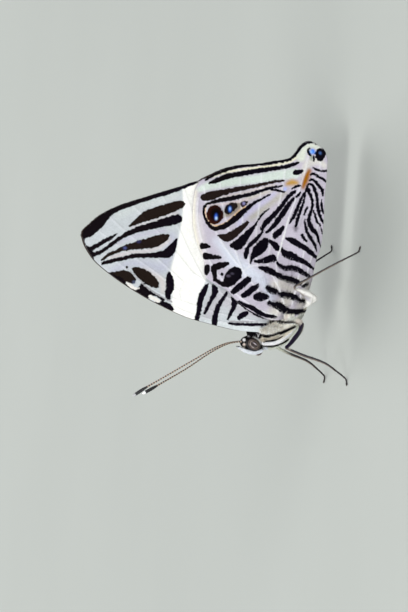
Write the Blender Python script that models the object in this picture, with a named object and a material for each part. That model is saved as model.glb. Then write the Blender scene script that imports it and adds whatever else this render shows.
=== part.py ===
"""Zebra mosaic butterfly (Colobura dirce) at rest, life size, as a still museum model.

The butterfly stands on the floor at z = 0 with its wings closed over its back, its head towards -X
and its left side towards -Y. Sizes below are millimetres. Each form is a solid of its own: head,
eyes, palps, feelers, proboscis, thorax, abdomen, legs and wings, parted by small gaps.
"""

import math

import bmesh
import bpy
from mathutils import Matrix, Vector
from mathutils.geometry import delaunay_2d_cdt

# Scale and place
MM = 0.001
MIDDLE_X = 3.4  # middle of the whole length, from feeler tips to tail lobes
GAP = 0.3  # clearance between neighbouring solids
TINY = 0.001  # points closer than this are one point
WELD = 0.01  # points left by a cut are merged when they are closer than this

# Wing sheets
WING_THICK = 0.5
VEIN_HIGH = 0.15
VEIN_HALF = 0.38
VEIN_STEP = 1.7
VEIN_JOIN = 0.6  # a branch that starts this near another vein's point grows from it
GRID_STEP = 3.4
RIM_STEP = 0.9
RIM_CLEAR = 0.7
POINT_CLEAR = 0.3

# Distance of each wing's middle surface from the plane of symmetry
FORE_OFFSET = 0.40
STACK_STEP = 0.95
BASE_POINT = (-4.5, 10.5)
BASE_SPREAD = 1.6
BASE_REACH = 6.0
FORE_DIP = 1.0
FORE_DIP_REACH = 2.0
HIND_DIP = 0.45
HIND_DIP_REACH = 2.4
ROOT_POINT = (-3.3, 8.6)
ROOT_DIP = 1.3
ROOT_DIP_REACH = 1.0
TAIL_OFFSET = 0.45
CLOSE_OVER = 7.0
BELLY_BULGE = 1.35
BELLY_LEVEL = 6.7
BELLY_REACH = 2.6
BELLY_START = (-3.5, 2.0)
BELLY_END = (7.0, 13.0)

# Wing outlines, x towards the tail and z up. Each run is one smooth stretch between two corners.
FORE_EDGE = (
    (-5.6, 10.6), (-5.9, 12.5), (-6.0, 15.0), (-5.9, 17.0), (-5.6, 19.0), (-5.25, 21.0), (-4.4, 25.0),
    (-2.6, 29.8), (-1.3, 32.6), (0.0, 35.1), (1.4, 37.4), (2.9, 39.5), (4.2, 40.7), (5.5, 41.55),
    (6.7, 42.0), (7.6, 41.85), (8.5, 41.05), (10.0, 39.5), (11.0, 38.0), (12.0, 36.1), (13.3, 33.0),
    (14.6, 29.8), (15.7, 27.0), (16.35, 25.5), (16.6, 24.3),
)
FORE_INNER = ((16.6, 24.3), (7.6, 18.0), (-1.5, 10.5))
FORE_BASE = ((-1.5, 10.5), (-3.5, 9.6), (-5.6, 10.6))
HIND_FRONT = (
    (-3.9, 10.6), (-3.9, 12.0), (-3.2, 14.0), (-2.3, 15.8), (-1.3, 17.2), (-0.4, 18.1), (0.3, 19.0),
    (0.9, 20.5), (1.3, 22.0),
)
HIND_TOP = (
    (1.3, 22.0), (2.6, 22.7), (4.0, 22.6), (5.3, 23.1), (6.8, 23.9), (8.0, 24.4), (10.0, 24.95),
    (12.5, 25.1), (15.0, 25.0), (16.5, 24.4), (17.3, 23.2), (18.6, 20.9), (19.2, 19.4), (19.6, 17.8),
    (20.0, 15.2), (20.6, 12.7), (21.0, 11.0), (21.4, 10.0), (22.2, 9.3), (23.2, 8.7), (23.9, 8.0),
    (24.15, 7.3), (23.9, 6.3), (23.3, 5.2), (22.6, 4.6), (21.3, 4.15), (19.0, 4.1), (16.0, 4.15),
    (13.0, 4.05), (10.0, 4.1), (8.0, 4.3), (6.5, 4.8), (4.5, 5.2), (3.0, 5.4), (1.8, 5.7),
    (0.8, 6.1), (-0.5, 6.5), (-2.2, 6.9),
)
HIND_BASE = ((-2.2, 6.9), (-3.2, 7.8), (-3.9, 10.6))

# The main veins of each wing, from the root outwards
FORE_VEINS = (
    ((-5.2, 13.0), (-5.1, 16.0), (-4.7, 20.0), (-3.8, 24.6), (-2.2, 29.0), (-0.9, 31.8)),
    (
        (-4.4, 13.0), (-3.9, 17.0), (-3.1, 21.5), (-2.1, 25.8), (-1.0, 29.6), (1.0, 32.9),
        (3.2, 36.4), (5.0, 39.6), (6.3, 41.2),
    ),
    ((-3.4, 13.0), (-2.2, 16.2), (-0.3, 19.6), (1.4, 22.3), (2.3, 24.2)),
    ((2.3, 24.2), (0.8, 25.6), (-0.6, 26.2), (-2.1, 25.8)),
    ((-0.6, 26.2), (1.4, 29.0), (3.4, 32.4), (5.6, 36.2), (8.0, 39.9)),
    ((0.8, 25.6), (3.6, 29.2), (6.6, 33.4), (10.1, 38.1)),
    ((2.3, 24.2), (5.8, 27.6), (9.0, 31.0), (12.1, 34.5)),
    ((1.4, 22.3), (5.4, 24.9), (9.8, 27.4), (13.9, 29.9)),
    ((-0.3, 19.6), (4.6, 21.9), (10.0, 24.3), (15.1, 26.6)),
    ((-1.9, 12.6), (2.4, 15.9), (9.0, 20.4), (15.5, 24.4)),
)
HIND_VEINS = (
    (
        (-3.2, 11.0), (-2.5, 13.6), (-0.8, 16.6), (1.1, 18.9), (3.2, 21.0), (6.6, 22.9),
        (10.5, 24.2), (14.0, 24.4),
    ),
    ((-2.4, 10.6), (0.0, 13.4), (3.2, 16.4), (7.6, 20.2), (12.0, 22.7), (15.9, 23.6)),
    (
        (-2.0, 9.6), (1.6, 10.9), (3.8, 12.6), (4.4, 14.2), (9.0, 14.7), (14.6, 14.4),
        (19.4, 14.5),
    ),
    ((4.4, 14.2), (4.1, 15.4), (3.2, 16.4)),
    ((3.2, 16.4), (8.0, 18.6), (13.0, 20.4), (17.7, 21.2)),
    ((4.1, 15.4), (8.6, 16.6), (14.0, 17.5), (18.9, 17.9)),
    ((3.8, 12.6), (8.6, 12.2), (14.2, 11.3), (20.1, 10.7)),
    (
        (1.6, 10.9), (5.0, 11.1), (8.5, 10.4), (12.0, 9.6), (16.3, 8.4), (20.0, 7.5), (23.0, 7.2),
    ),
    ((-1.2, 8.5), (3.0, 7.7), (9.0, 6.8), (15.0, 6.0), (21.4, 5.2)),
    ((-0.6, 7.4), (4.0, 6.3), (8.6, 5.3), (12.6, 4.9)),
)

# Body sections along a curved middle line: x, z, half width, half height
THORAX_SECTIONS = (
    (-6.55, 14.70, 0.45, 0.50), (-6.45, 14.35, 0.75, 0.95), (-6.25, 13.80, 0.90, 1.35),
    (-5.90, 12.90, 1.05, 1.85), (-5.10, 11.30, 1.70, 2.50), (-3.80, 9.90, 2.05, 2.80),
    (-2.30, 8.70, 1.95, 2.75), (-0.90, 7.80, 1.60, 2.50), (0.00, 7.30, 1.15, 1.90),
    (0.50, 7.00, 0.60, 1.10),
)
ABDOMEN_SECTIONS = (
    (-0.60, 7.45, 0.90, 1.00), (0.60, 7.30, 1.20, 1.30), (2.00, 7.10, 1.38, 1.50),
    (4.00, 6.90, 1.40, 1.52), (6.00, 6.65, 1.30, 1.42), (8.00, 6.35, 1.08, 1.18),
    (9.60, 6.10, 0.78, 0.85), (10.60, 5.95, 0.45, 0.50), (11.00, 5.90, 0.20, 0.22),
)
BODY_SIDES = 24

# Head and eyes: middle and half sizes along x, y and z
HEAD_MIDDLE = (-7.75, 0.0, 14.10)
HEAD_HALF = (1.25, 1.25, 1.75)
EYE_MIDDLE = (-8.0, 1.0, 14.05)
EYE_HALF = (0.97, 0.78, 1.07)
EYE_BACK = 0.65  # the eye's flat back, from the plane of symmetry

# Round limbs on the right side: x, y, z, radius
ANTENNA = (
    (-7.60, 0.45, 15.00, 0.27), (-7.70, 0.55, 16.20, 0.26), (-8.10, 0.90, 18.00, 0.25),
    (-9.60, 1.70, 21.20, 0.25), (-11.40, 2.50, 23.90, 0.25), (-13.20, 3.20, 26.50, 0.25),
    (-15.00, 3.80, 28.70, 0.26), (-15.90, 4.05, 29.80, 0.34), (-16.80, 4.30, 30.90, 0.38),
    (-17.35, 4.45, 31.55, 0.30), (-17.50, 4.50, 31.75, 0.16),
)
PALP = (
    (-8.10, 0.70, 12.60, 0.30), (-8.75, 0.84, 12.35, 0.33), (-9.32, 0.88, 13.00, 0.32),
    (-9.52, 0.86, 14.00, 0.30), (-9.34, 0.76, 15.00, 0.28), (-8.87, 0.62, 16.00, 0.24),
    (-8.60, 0.58, 16.45, 0.14),
)
FORELEG = (
    (-7.00, 0.70, 12.10, 0.25), (-7.55, 1.35, 12.20, 0.26), (-7.45, 1.75, 11.20, 0.40),
    (-6.70, 1.90, 9.80, 0.42), (-5.70, 1.80, 8.50, 0.36), (-4.90, 1.55, 7.60, 0.20),
)
MIDLEG = (
    (-3.40, 0.60, 7.60, 0.50), (-4.10, 1.60, 6.75, 0.50), (-5.20, 2.25, 6.85, 0.42),
    (-6.60, 2.75, 7.85, 0.42), (-7.70, 3.10, 9.05, 0.36), (-8.10, 3.25, 9.60, 0.32),
    (-8.45, 3.60, 9.10, 0.31), (-9.10, 4.60, 6.50, 0.30), (-9.90, 5.90, 3.60, 0.28),
    (-11.10, 6.65, 1.60, 0.26), (-11.95, 7.20, 0.45, 0.26), (-12.35, 7.50, 0.20, 0.26),
    (-13.00, 7.95, 0.19, 0.25),
)
HINDLEG = (
    (-1.60, 0.60, 6.90, 0.55), (-0.60, 1.70, 5.45, 0.55), (0.00, 2.90, 5.25, 0.52),
    (0.45, 3.70, 6.20, 0.50), (0.95, 4.20, 7.90, 0.42), (1.25, 4.40, 8.80, 0.34),
    (1.75, 4.70, 8.50, 0.31), (3.10, 5.75, 6.70, 0.30), (5.30, 7.50, 3.60, 0.28),
    (6.50, 8.40, 1.80, 0.26), (7.35, 9.05, 0.50, 0.26), (7.70, 9.35, 0.20, 0.26),
    (8.30, 9.85, 0.19, 0.25),
)
LIMB_STEP = 0.75
FINE_STEP = 0.45

# The coiled proboscis between the palps
COIL_MIDDLE = (-9.00, 12.80)
COIL_TUBE = 0.25
COIL_WIDE = 0.50
COIL_NARROW = 0.34
COIL_TURNS = 0.86
COIL_POINTS = 13

SIDES = {"left": -1.0, "right": 1.0}


def at(x, y, z):
    """A point in metres, in the part's frame, from millimetres."""
    return Vector(((x - MIDDLE_X) * MM, y * MM, z * MM))


def spline_point(rows, index, share):
    """A row on the smooth curve through all rows, between one row and the next."""
    last = len(rows) - 1
    a = rows[max(index - 1, 0)]
    b = rows[index]
    c = rows[min(index + 1, last)]
    d = rows[min(index + 2, last)]
    row = []
    for p, q, r, s in zip(a, b, c, d):
        cubic = -p + 3 * q - 3 * r + s
        square = 2 * p - 5 * q + 4 * r - s
        row.append(q + 0.5 * share * ((r - p) + share * (square + share * cubic)))
    return row


def smooth_rows(rows, step):
    """Rows on the smooth curve through the given rows, about one step apart, ends included."""
    found = []
    for index in range(len(rows) - 1):
        reach = math.dist(rows[index][:3], rows[index + 1][:3])
        pieces = max(1, round(reach / step))
        found += [spline_point(rows, index, n / pieces) for n in range(pieces)]
    return found + [list(rows[-1])]


def bump(distance, reach):
    """A smooth hill, 1 at its middle and near 0 at about twice its reach."""
    return math.exp(-((distance / reach) ** 2))


def ease(value, low, high):
    """0 below low, 1 above high and smooth between them."""
    share = min(max((value - low) / (high - low), 0.0), 1.0)
    return share * share * (3 - 2 * share)


def fore_distance(x, z):
    """How far the forewing's middle surface lies from the plane of symmetry."""
    away = math.dist((x, z), BASE_POINT)
    spread = BASE_SPREAD * bump(away, BASE_REACH)
    return FORE_OFFSET + spread - FORE_DIP * bump(away, FORE_DIP_REACH)


def hind_distance(x, z):
    """The same for the hindwing, which lies outside the forewing and closes in behind it."""
    (x1, z1), (x0, z0) = FORE_INNER[0], FORE_INNER[-1]
    tilt = math.atan2(z1 - z0, x1 - x0)
    below = (z0 - z) * math.cos(tilt) + (x - x0) * math.sin(tilt)
    away = math.dist((x, z), BASE_POINT)
    apart = (FORE_OFFSET + STACK_STEP - TAIL_OFFSET) * (1 - ease(below, 0.0, CLOSE_OVER))
    spread = BASE_SPREAD * bump(away, BASE_REACH) - HIND_DIP * bump(away, HIND_DIP_REACH)
    over = ease(x, *BELLY_START) * (1 - ease(x, *BELLY_END))
    belly = BELLY_BULGE * bump(z - BELLY_LEVEL, BELLY_REACH) * over
    root = ROOT_DIP * bump(math.dist((x, z), ROOT_POINT), ROOT_DIP_REACH)
    return TAIL_OFFSET + apart + spread + belly - root


def new_object(name, mesh, material=None):
    """A scene object that shows the mesh."""
    part = bpy.data.objects.new(name, mesh)
    bpy.context.collection.objects.link(part)
    if material:
        part.data.materials.append(material)
    return part


def mesh_from(bm, name):
    """The finished mesh of a bmesh, smooth but for its sharp edges."""
    bmesh.ops.recalc_face_normals(bm, faces=bm.faces[:])
    mesh = bpy.data.meshes.new(name)
    bm.to_mesh(mesh)
    bm.free()
    mesh.shade_smooth()
    mesh.set_sharp_from_angle(angle=math.radians(40))
    return mesh


def finish(name, color, roughness):
    """The plain material of one sub-part."""
    material = bpy.data.materials.new(name)
    material.use_nodes = True
    shader = material.node_tree.nodes["Principled BSDF"]
    shader.inputs["Base Color"].default_value = (*color, 1.0)
    shader.inputs["Roughness"].default_value = roughness
    shader.inputs["Metallic"].default_value = 0.0
    return material


def body_form(name, sections, grow=0.0):
    """A closed body lofted through oval sections, each square to the middle line."""
    rows = smooth_rows([(x, 0.0, z, wide, high) for x, z, wide, high in sections], LIMB_STEP)
    bm = bmesh.new()
    rings = []
    for index, (x, y, z, wide, high) in enumerate(rows):
        before = rows[max(index - 1, 0)]
        after = rows[min(index + 1, len(rows) - 1)]
        ahead = Vector((after[0] - before[0], 0.0, after[2] - before[2])).normalized()
        end = {0: -grow, len(rows) - 1: grow}.get(index, 0.0)
        across = Vector((0.0, 1.0, 0.0))
        middle = at(x, y, z) + ahead * end * MM
        frame = Matrix((
            (*(across * (wide + grow) * MM), 0.0),
            (*(ahead.cross(across) * (high + grow) * MM), 0.0),
            (*ahead, 0.0),
            (*middle, 1.0),
        )).transposed()
        ring = bmesh.ops.create_circle(bm, segments=BODY_SIDES, radius=1.0, matrix=frame)
        rings.append(list({edge for vert in ring["verts"] for edge in vert.link_edges}))
    for low, high in zip(rings, rings[1:]):
        bmesh.ops.bridge_loops(bm, edges=low + high)
    bmesh.ops.holes_fill(bm, edges=rings[0] + rings[-1], sides=0)
    return mesh_from(bm, name)


def ball(name, middle, half, grow=0.0, flat_back=None):
    """An egg-shaped solid. With flat_back it is cut off at that distance from the symmetry plane."""
    bm = bmesh.new()
    scale = Matrix.Diagonal([(size + grow) * MM for size in half] + [1.0])
    bmesh.ops.create_uvsphere(
        bm, u_segments=24, v_segments=14, radius=1.0, matrix=Matrix.Translation(at(*middle)) @ scale
    )
    if flat_back is not None:
        side = math.copysign(1.0, middle[1])
        plane = Vector((0.0, side * (flat_back - grow) * MM, 0.0))
        everything = bm.verts[:] + bm.edges[:] + bm.faces[:]
        cut = bmesh.ops.bisect_plane(
            bm, geom=everything, plane_co=plane, plane_no=(0.0, -side, 0.0), clear_outer=True
        )
        rim = [item for item in cut["geom_cut"] if isinstance(item, bmesh.types.BMEdge)]
        bmesh.ops.holes_fill(bm, edges=rim, sides=0)
    return mesh_from(bm, name)


def tube(name, rows, side, step=LIMB_STEP, grow=0.0):
    """A round limb of changing radius along a smooth line, standing on a flat where it meets z = 0."""
    points = smooth_rows(rows, step)
    curve = bpy.data.curves.new(name, "CURVE")
    curve.dimensions = "3D"
    curve.bevel_depth = MM
    curve.bevel_resolution = 2
    curve.use_fill_caps = True
    spline = curve.splines.new("POLY")
    spline.points.add(len(points) - 1)
    for point, (x, y, z, radius) in zip(spline.points, points):
        point.co = (*at(x, side * y, z), 1.0)
        point.radius = radius + grow
    guide = new_object(name, curve)
    shape = bpy.context.evaluated_depsgraph_get()
    mesh = bpy.data.meshes.new_from_object(guide.evaluated_get(shape))
    bpy.data.objects.remove(guide)
    bpy.data.curves.remove(curve)
    bm = bmesh.new()
    bm.from_mesh(mesh)
    bpy.data.meshes.remove(mesh)
    bmesh.ops.remove_doubles(bm, verts=bm.verts[:], dist=TINY * MM)
    if grow == 0.0:
        everything = bm.verts[:] + bm.edges[:] + bm.faces[:]
        cut = bmesh.ops.bisect_plane(
            bm, geom=everything, plane_co=(0.0, 0.0, 0.0), plane_no=(0.0, 0.0, -1.0), clear_outer=True
        )
        rim = [item for item in cut["geom_cut"] if isinstance(item, bmesh.types.BMEdge)]
        if rim:
            bmesh.ops.holes_fill(bm, edges=rim, sides=0)
    return mesh_from(bm, name)


def inside(point, rim):
    """Whether a point of the wing plane lies inside the closed rim."""
    x, z = point
    hit = False
    for (x0, z0), (x1, z1) in zip(rim, rim[1:] + rim[:1]):
        if (z0 > z) != (z1 > z) and x < x0 + (z - z0) / (z1 - z0) * (x1 - x0):
            hit = not hit
    return hit


def line_distance(point, line):
    """The distance from a point of the wing plane to a line of points."""
    nearest = math.inf
    spot = Vector(point)
    for start, end in zip(line, line[1:]):
        a = Vector(start)
        run = Vector(end) - a
        share = min(max((spot - a).dot(run) / max(run.length_squared, TINY), 0.0), 1.0)
        nearest = min(nearest, (a + run * share - spot).length)
    return nearest


def grid_points(rim, lines):
    """An even grid of points inside the wing's outline, clear of the given lines."""
    low_x = min(x for x, z in rim)
    high_x = max(x for x, z in rim)
    low_z = min(z for x, z in rim)
    high_z = max(z for x, z in rim)
    points = []
    for row in range(math.ceil((high_z - low_z) / GRID_STEP)):
        for column in range(math.ceil((high_x - low_x) / GRID_STEP)):
            spot = (
                low_x + (column + 0.5 * (row % 2)) * GRID_STEP,
                low_z + (row + 0.5) * GRID_STEP,
            )
            if inside(spot, rim) and min(line_distance(spot, line) for line in lines) > RIM_CLEAR:
                points.append(spot)
    return points


def add_vein(points, edges, vein):
    """Adds a vein's middle line, grown from the nearest point of an earlier vein."""
    old = list(points)
    last = None
    for spot in vein:
        index = None
        if old:
            near = min(range(len(old)), key=lambda n: math.dist(old[n], spot))
            index = near if math.dist(old[near], spot) < VEIN_JOIN else None
        if index is None:
            index = len(points)
            points.append(spot)
        if last is not None and last != index:
            edges.append((last, index))
        last = index


def add_flank(points, edges, vein, others, rim, turn):
    """Adds the foot of a vein's ridge on one side, left out where it would meet another form."""
    last = None
    for index, spot in enumerate(vein):
        before = Vector(vein[max(index - 1, 0)])
        after = Vector(vein[min(index + 1, len(vein) - 1)])
        run = (after - before).normalized()
        foot = (spot[0] - turn * VEIN_HALF * run.y, spot[1] + turn * VEIN_HALF * run.x)
        blocked = (
            not inside(foot, rim)
            or line_distance(foot, rim) < POINT_CLEAR
            or any(line_distance(foot, other) < VEIN_HALF for other in others)
            or any(math.dist(foot, point) < POINT_CLEAR for point in points)
        )
        if blocked:
            last = None
            continue
        points.append(foot)
        if last is not None:
            edges.append((last, len(points) - 1))
        last = len(points) - 1


def wing_sheet(name, runs, veins, distance, side):
    """A thin curved wing, triangulated alike on both faces, with its veins raised on the outer one."""
    rim = []
    for run in runs:
        rim += [tuple(row) for row in smooth_rows(run, RIM_STEP)[:-1]]
    closed = rim + rim[:1]
    lines = [[tuple(row) for row in smooth_rows(vein, VEIN_STEP)] for vein in veins]
    points = []
    edges = []
    for line in lines:
        add_vein(points, edges, line)
    for number, line in enumerate(lines):
        others = lines[:number] + lines[number + 1:]
        for turn in (-1.0, 1.0):
            add_flank(points, edges, line, others, closed, turn)
    points += grid_points(rim, lines + [closed])
    first = len(points)
    points += rim
    outline = [first + n for n in range(len(rim))]
    flat, _, triangles, _, _, _ = delaunay_2d_cdt(
        [Vector(point) for point in points], edges, [outline], 1, TINY
    )
    bm = bmesh.new()
    outer = []
    for x, z in flat:
        outer.append(bm.verts.new(at(x, side * (distance(x, z) + WING_THICK / 2), z)))
    for triangle in triangles:
        bm.faces.new([outer[index] for index in triangle])
    grown = bmesh.ops.extrude_face_region(bm, geom=bm.faces[:])["geom"]
    inner = [item for item in grown if isinstance(item, bmesh.types.BMVert)]
    bmesh.ops.translate(bm, verts=inner, vec=(0.0, -side * WING_THICK * MM, 0.0))
    for vert, spot in zip(outer, flat):
        away = min(line_distance(spot, line) for line in lines)
        vert.co.y += side * VEIN_HIGH * MM * max(0.0, 1.0 - away / VEIN_HALF)
    return mesh_from(bm, name)


def keep_largest(mesh):
    """Only the largest closed surface of a mesh stays."""
    bm = bmesh.new()
    bm.from_mesh(mesh)
    left = set(bm.faces)
    shells = []
    while left:
        shell = set()
        front = [left.pop()]
        while front:
            face = front.pop()
            shell.add(face)
            for edge in face.edges:
                for other in edge.link_faces:
                    if other in left:
                        left.remove(other)
                        front.append(other)
        shells.append(shell)
    shells.sort(key=lambda shell: sum(face.calc_area() for face in shell))
    loose = [face for shell in shells[:-1] for face in shell]
    bmesh.ops.delete(bm, geom=loose, context="FACES")
    bmesh.ops.remove_doubles(bm, verts=bm.verts[:], dist=WELD * MM)
    bm.to_mesh(mesh)
    bm.free()


def cut_clear(part, cutters):
    """Cuts the grown shapes of its neighbours out of a part, and applies the cuts."""
    helpers = []
    for number, mesh in enumerate(cutters):
        helper = new_object(f"cutter_{number}", mesh)
        helper.hide_render = True
        helper.display_type = "WIRE"
        helpers.append(helper)
        cut = part.modifiers.new(f"cut_{number}", "BOOLEAN")
        cut.operation = "DIFFERENCE"
        cut.object = helper
    shape = bpy.context.evaluated_depsgraph_get()
    mesh = bpy.data.meshes.new_from_object(part.evaluated_get(shape))
    part.modifiers.clear()
    part.data = mesh
    keep_largest(mesh)
    for helper in helpers:
        bpy.data.objects.remove(helper)


def build_head(skin, eye_skin, dark):
    """The head with its eyes in sockets, feelers, palps and proboscis."""
    head = new_object("head", ball("head", HEAD_MIDDLE, HEAD_HALF), skin)
    sockets = []
    for word, side in SIDES.items():
        middle = (EYE_MIDDLE[0], side * EYE_MIDDLE[1], EYE_MIDDLE[2])
        new_object(f"eye_{word}", ball("eye", middle, EYE_HALF, 0.0, EYE_BACK), eye_skin)
        sockets.append(ball("socket", middle, EYE_HALF, GAP, EYE_BACK))
    cut_clear(head, sockets)
    near = ball("head_clearance", HEAD_MIDDLE, HEAD_HALF, GAP)
    for word, side in SIDES.items():
        antenna = new_object(f"antenna_{word}", tube("antenna", ANTENNA, side), dark)
        cut_clear(antenna, [near])
        palp = new_object(f"palp_{word}", tube("palp", PALP, side, FINE_STEP), skin)
        cut_clear(palp, [near])
    coil = []
    for number in range(COIL_POINTS):
        share = number / (COIL_POINTS - 1)
        turn = math.tau * COIL_TURNS * share
        radius = COIL_WIDE + (COIL_NARROW - COIL_WIDE) * share
        x = COIL_MIDDLE[0] + radius * math.cos(turn)
        z = COIL_MIDDLE[1] - radius * math.sin(turn)
        coil.append((x, 0.0, z, COIL_TUBE))
    proboscis = new_object("proboscis", tube("proboscis", coil, 1.0, FINE_STEP / 2), dark)
    cut_clear(proboscis, [near])


def build_body(skin):
    """The thorax, cut clear of the head, and the abdomen, cut clear of the thorax."""
    thorax = new_object("thorax", body_form("thorax", THORAX_SECTIONS), skin)
    cut_clear(thorax, [ball("head_clearance", HEAD_MIDDLE, HEAD_HALF, GAP)])
    abdomen = new_object("abdomen", body_form("abdomen", ABDOMEN_SECTIONS), skin)
    cut_clear(abdomen, [body_form("thorax_clearance", THORAX_SECTIONS, GAP)])


def build_legs(skin):
    """The folded forelegs and the four walking legs, with their roots at the thorax."""
    for word, side in SIDES.items():
        for kind, rows in (("foreleg", FORELEG), ("midleg", MIDLEG), ("hindleg", HINDLEG)):
            leg = new_object(f"{kind}_{word}", tube(kind, rows, side), skin)
            cut_clear(leg, [
                body_form("thorax_clearance", THORAX_SECTIONS, GAP),
                ball("head_clearance", HEAD_MIDDLE, HEAD_HALF, GAP),
            ])


def build_wings(skin):
    """The forewings inside and the hindwings outside, with their roots at the thorax."""
    for word, side in SIDES.items():
        fore_runs = (FORE_EDGE, FORE_INNER, FORE_BASE)
        hind_runs = (HIND_FRONT, HIND_TOP, HIND_BASE)
        fore = wing_sheet("forewing", fore_runs, FORE_VEINS, fore_distance, side)
        hind = wing_sheet("hindwing", hind_runs, HIND_VEINS, hind_distance, side)
        cut_clear(new_object(f"forewing_{word}", fore, skin), [
            body_form("thorax_clearance", THORAX_SECTIONS, GAP),
        ])
        cut_clear(new_object(f"hindwing_{word}", hind, skin), [
            body_form("thorax_clearance", THORAX_SECTIONS, GAP),
            body_form("abdomen_clearance", ABDOMEN_SECTIONS, GAP),
            tube("leg_clearance", HINDLEG, side, LIMB_STEP, GAP),
        ])


def main():
    """Builds the whole butterfly."""
    for old in list(bpy.data.objects):
        bpy.data.objects.remove(old)
    body_skin = finish("body_scales", (0.62, 0.58, 0.50), 0.85)
    dark_skin = finish("dark_cuticle", (0.05, 0.04, 0.04), 0.45)
    leg_skin = finish("leg_scales", (0.30, 0.27, 0.26), 0.60)
    eye_skin = finish("eye_facets", (0.16, 0.09, 0.05), 0.25)
    wing_skin = finish("wing_scales", (0.80, 0.78, 0.76), 0.75)
    build_head(body_skin, eye_skin, dark_skin)
    build_body(body_skin)
    build_legs(leg_skin)
    build_wings(wing_skin)


main()
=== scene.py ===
"""Looks of a life-size zebra mosaic butterfly at rest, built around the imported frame.

Forms are drawn in millimetres, x towards the tail, y towards the right side and z up from the floor,
and are set in the frame's metres when a piece is finished.
"""
import logging
import math
from collections.abc import Callable
from dataclasses import dataclass
from enum import Enum

import bmesh
import bpy
import numpy as np
from bmesh.types import BMEdge, BMesh, BMVert
from bpy.types import Material, Mesh, Node, NodeSocket, Object
from mathutils import Matrix, Vector


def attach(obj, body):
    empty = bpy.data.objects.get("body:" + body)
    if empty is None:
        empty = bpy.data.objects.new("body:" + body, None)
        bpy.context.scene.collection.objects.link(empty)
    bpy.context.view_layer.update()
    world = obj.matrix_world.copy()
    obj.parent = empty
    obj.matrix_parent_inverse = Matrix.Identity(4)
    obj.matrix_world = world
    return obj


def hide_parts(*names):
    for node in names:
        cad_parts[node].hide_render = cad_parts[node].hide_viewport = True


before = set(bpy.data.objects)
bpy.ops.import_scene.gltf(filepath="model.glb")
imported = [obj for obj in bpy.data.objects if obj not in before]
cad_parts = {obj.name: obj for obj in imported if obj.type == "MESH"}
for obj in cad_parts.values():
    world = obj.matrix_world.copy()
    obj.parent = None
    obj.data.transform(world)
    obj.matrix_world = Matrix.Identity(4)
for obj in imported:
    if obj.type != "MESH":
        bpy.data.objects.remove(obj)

LOG = logging.getLogger("butterfly")
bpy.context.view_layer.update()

Row = tuple[float, ...]
Rows = tuple[Row, ...]
Strokes = tuple[Rows, ...]
Patches = tuple[tuple[Row, float, Rows], ...]
Inks = tuple[tuple[Row, Strokes], ...]
Spots = tuple[tuple[float, float, float, float, Row, float], ...]
Spread = Callable[[np.ndarray], np.ndarray]

# Scale and place
MM = 0.001
MIDDLE_X = 3.4

# How finely curves are followed, and how far from a stroke its distance is still measured
OUTLINE_STEP = 0.1
LINE_STEP = 0.8
STROKE_ROOM = 2.5
FAR = 9.0


class Side(Enum):
    """The animal's two sides, by the sign of y on each."""

    LEFT = -1.0
    RIGHT = 1.0

    @property
    def label(self) -> str:
        """The side's word in the names of nodes and pieces."""
        return self.name.lower()


class WingKind(Enum):
    """The two pairs of wings, by the first word of their nodes' names."""

    FORE = "fore"
    HIND = "hind"


# Wing outlines, x and z, between the four corners of each wing
FORE_COSTA = (
    (-5.6, 10.6), (-5.9, 12.5), (-6.0, 15.0), (-5.9, 17.0), (-5.6, 19.0), (-5.25, 21.0), (-4.4, 25.0),
    (-2.6, 29.8), (-1.3, 32.6), (0.0, 35.1), (1.4, 37.4), (2.9, 39.5), (4.2, 40.7), (5.5, 41.55), (6.7, 42.0),
)
FORE_OUTER = (
    (6.7, 42.0), (7.6, 41.85), (8.5, 41.05), (10.0, 39.5), (11.0, 38.0), (12.0, 36.1), (13.25, 33.0),
    (14.5, 29.8), (15.55, 27.0), (16.2, 25.5), (16.6, 24.3),
)
FORE_INNER = ((-1.5, 10.5), (7.6, 18.0), (16.6, 24.3))
FORE_BASE = ((-5.6, 10.6), (-3.5, 9.6), (-1.5, 10.5))
HIND_FRONT = (
    (-3.9, 10.6), (-3.9, 12.0), (-3.2, 14.0), (-2.3, 15.8), (-1.3, 17.2), (-0.4, 18.1), (0.3, 19.0),
    (0.9, 20.5), (1.6, 21.9), (2.6, 22.55), (4.0, 22.6), (5.3, 23.1), (6.8, 23.9), (8.0, 24.4), (10.0, 24.95),
    (12.5, 25.1), (15.0, 25.0), (16.5, 24.4),
)
HIND_OUTER = (
    (16.5, 24.4), (17.3, 23.2), (18.6, 20.9), (19.2, 19.4), (19.6, 17.8), (20.0, 15.2), (20.6, 12.7),
    (21.0, 11.0), (21.4, 10.0), (22.2, 9.3), (23.2, 8.7), (23.9, 8.0), (24.15, 7.3), (23.9, 6.3), (23.3, 5.2),
    (22.6, 4.6), (21.3, 4.15),
)
HIND_INNER = (
    (-2.2, 6.9), (-0.5, 6.5), (0.8, 6.1), (1.8, 5.7), (3.0, 5.4), (4.5, 5.2), (6.5, 4.8), (8.0, 4.3),
    (10.0, 4.1), (13.0, 4.05), (16.0, 4.15), (19.0, 4.1), (21.3, 4.15),
)
HIND_BASE = ((-3.9, 10.6), (-3.2, 7.8), (-2.2, 6.9))
FORE_OUTLINE = (FORE_COSTA, FORE_OUTER, FORE_INNER, FORE_BASE)
HIND_OUTLINE = (HIND_FRONT, HIND_OUTER, HIND_INNER, HIND_BASE)

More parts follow.
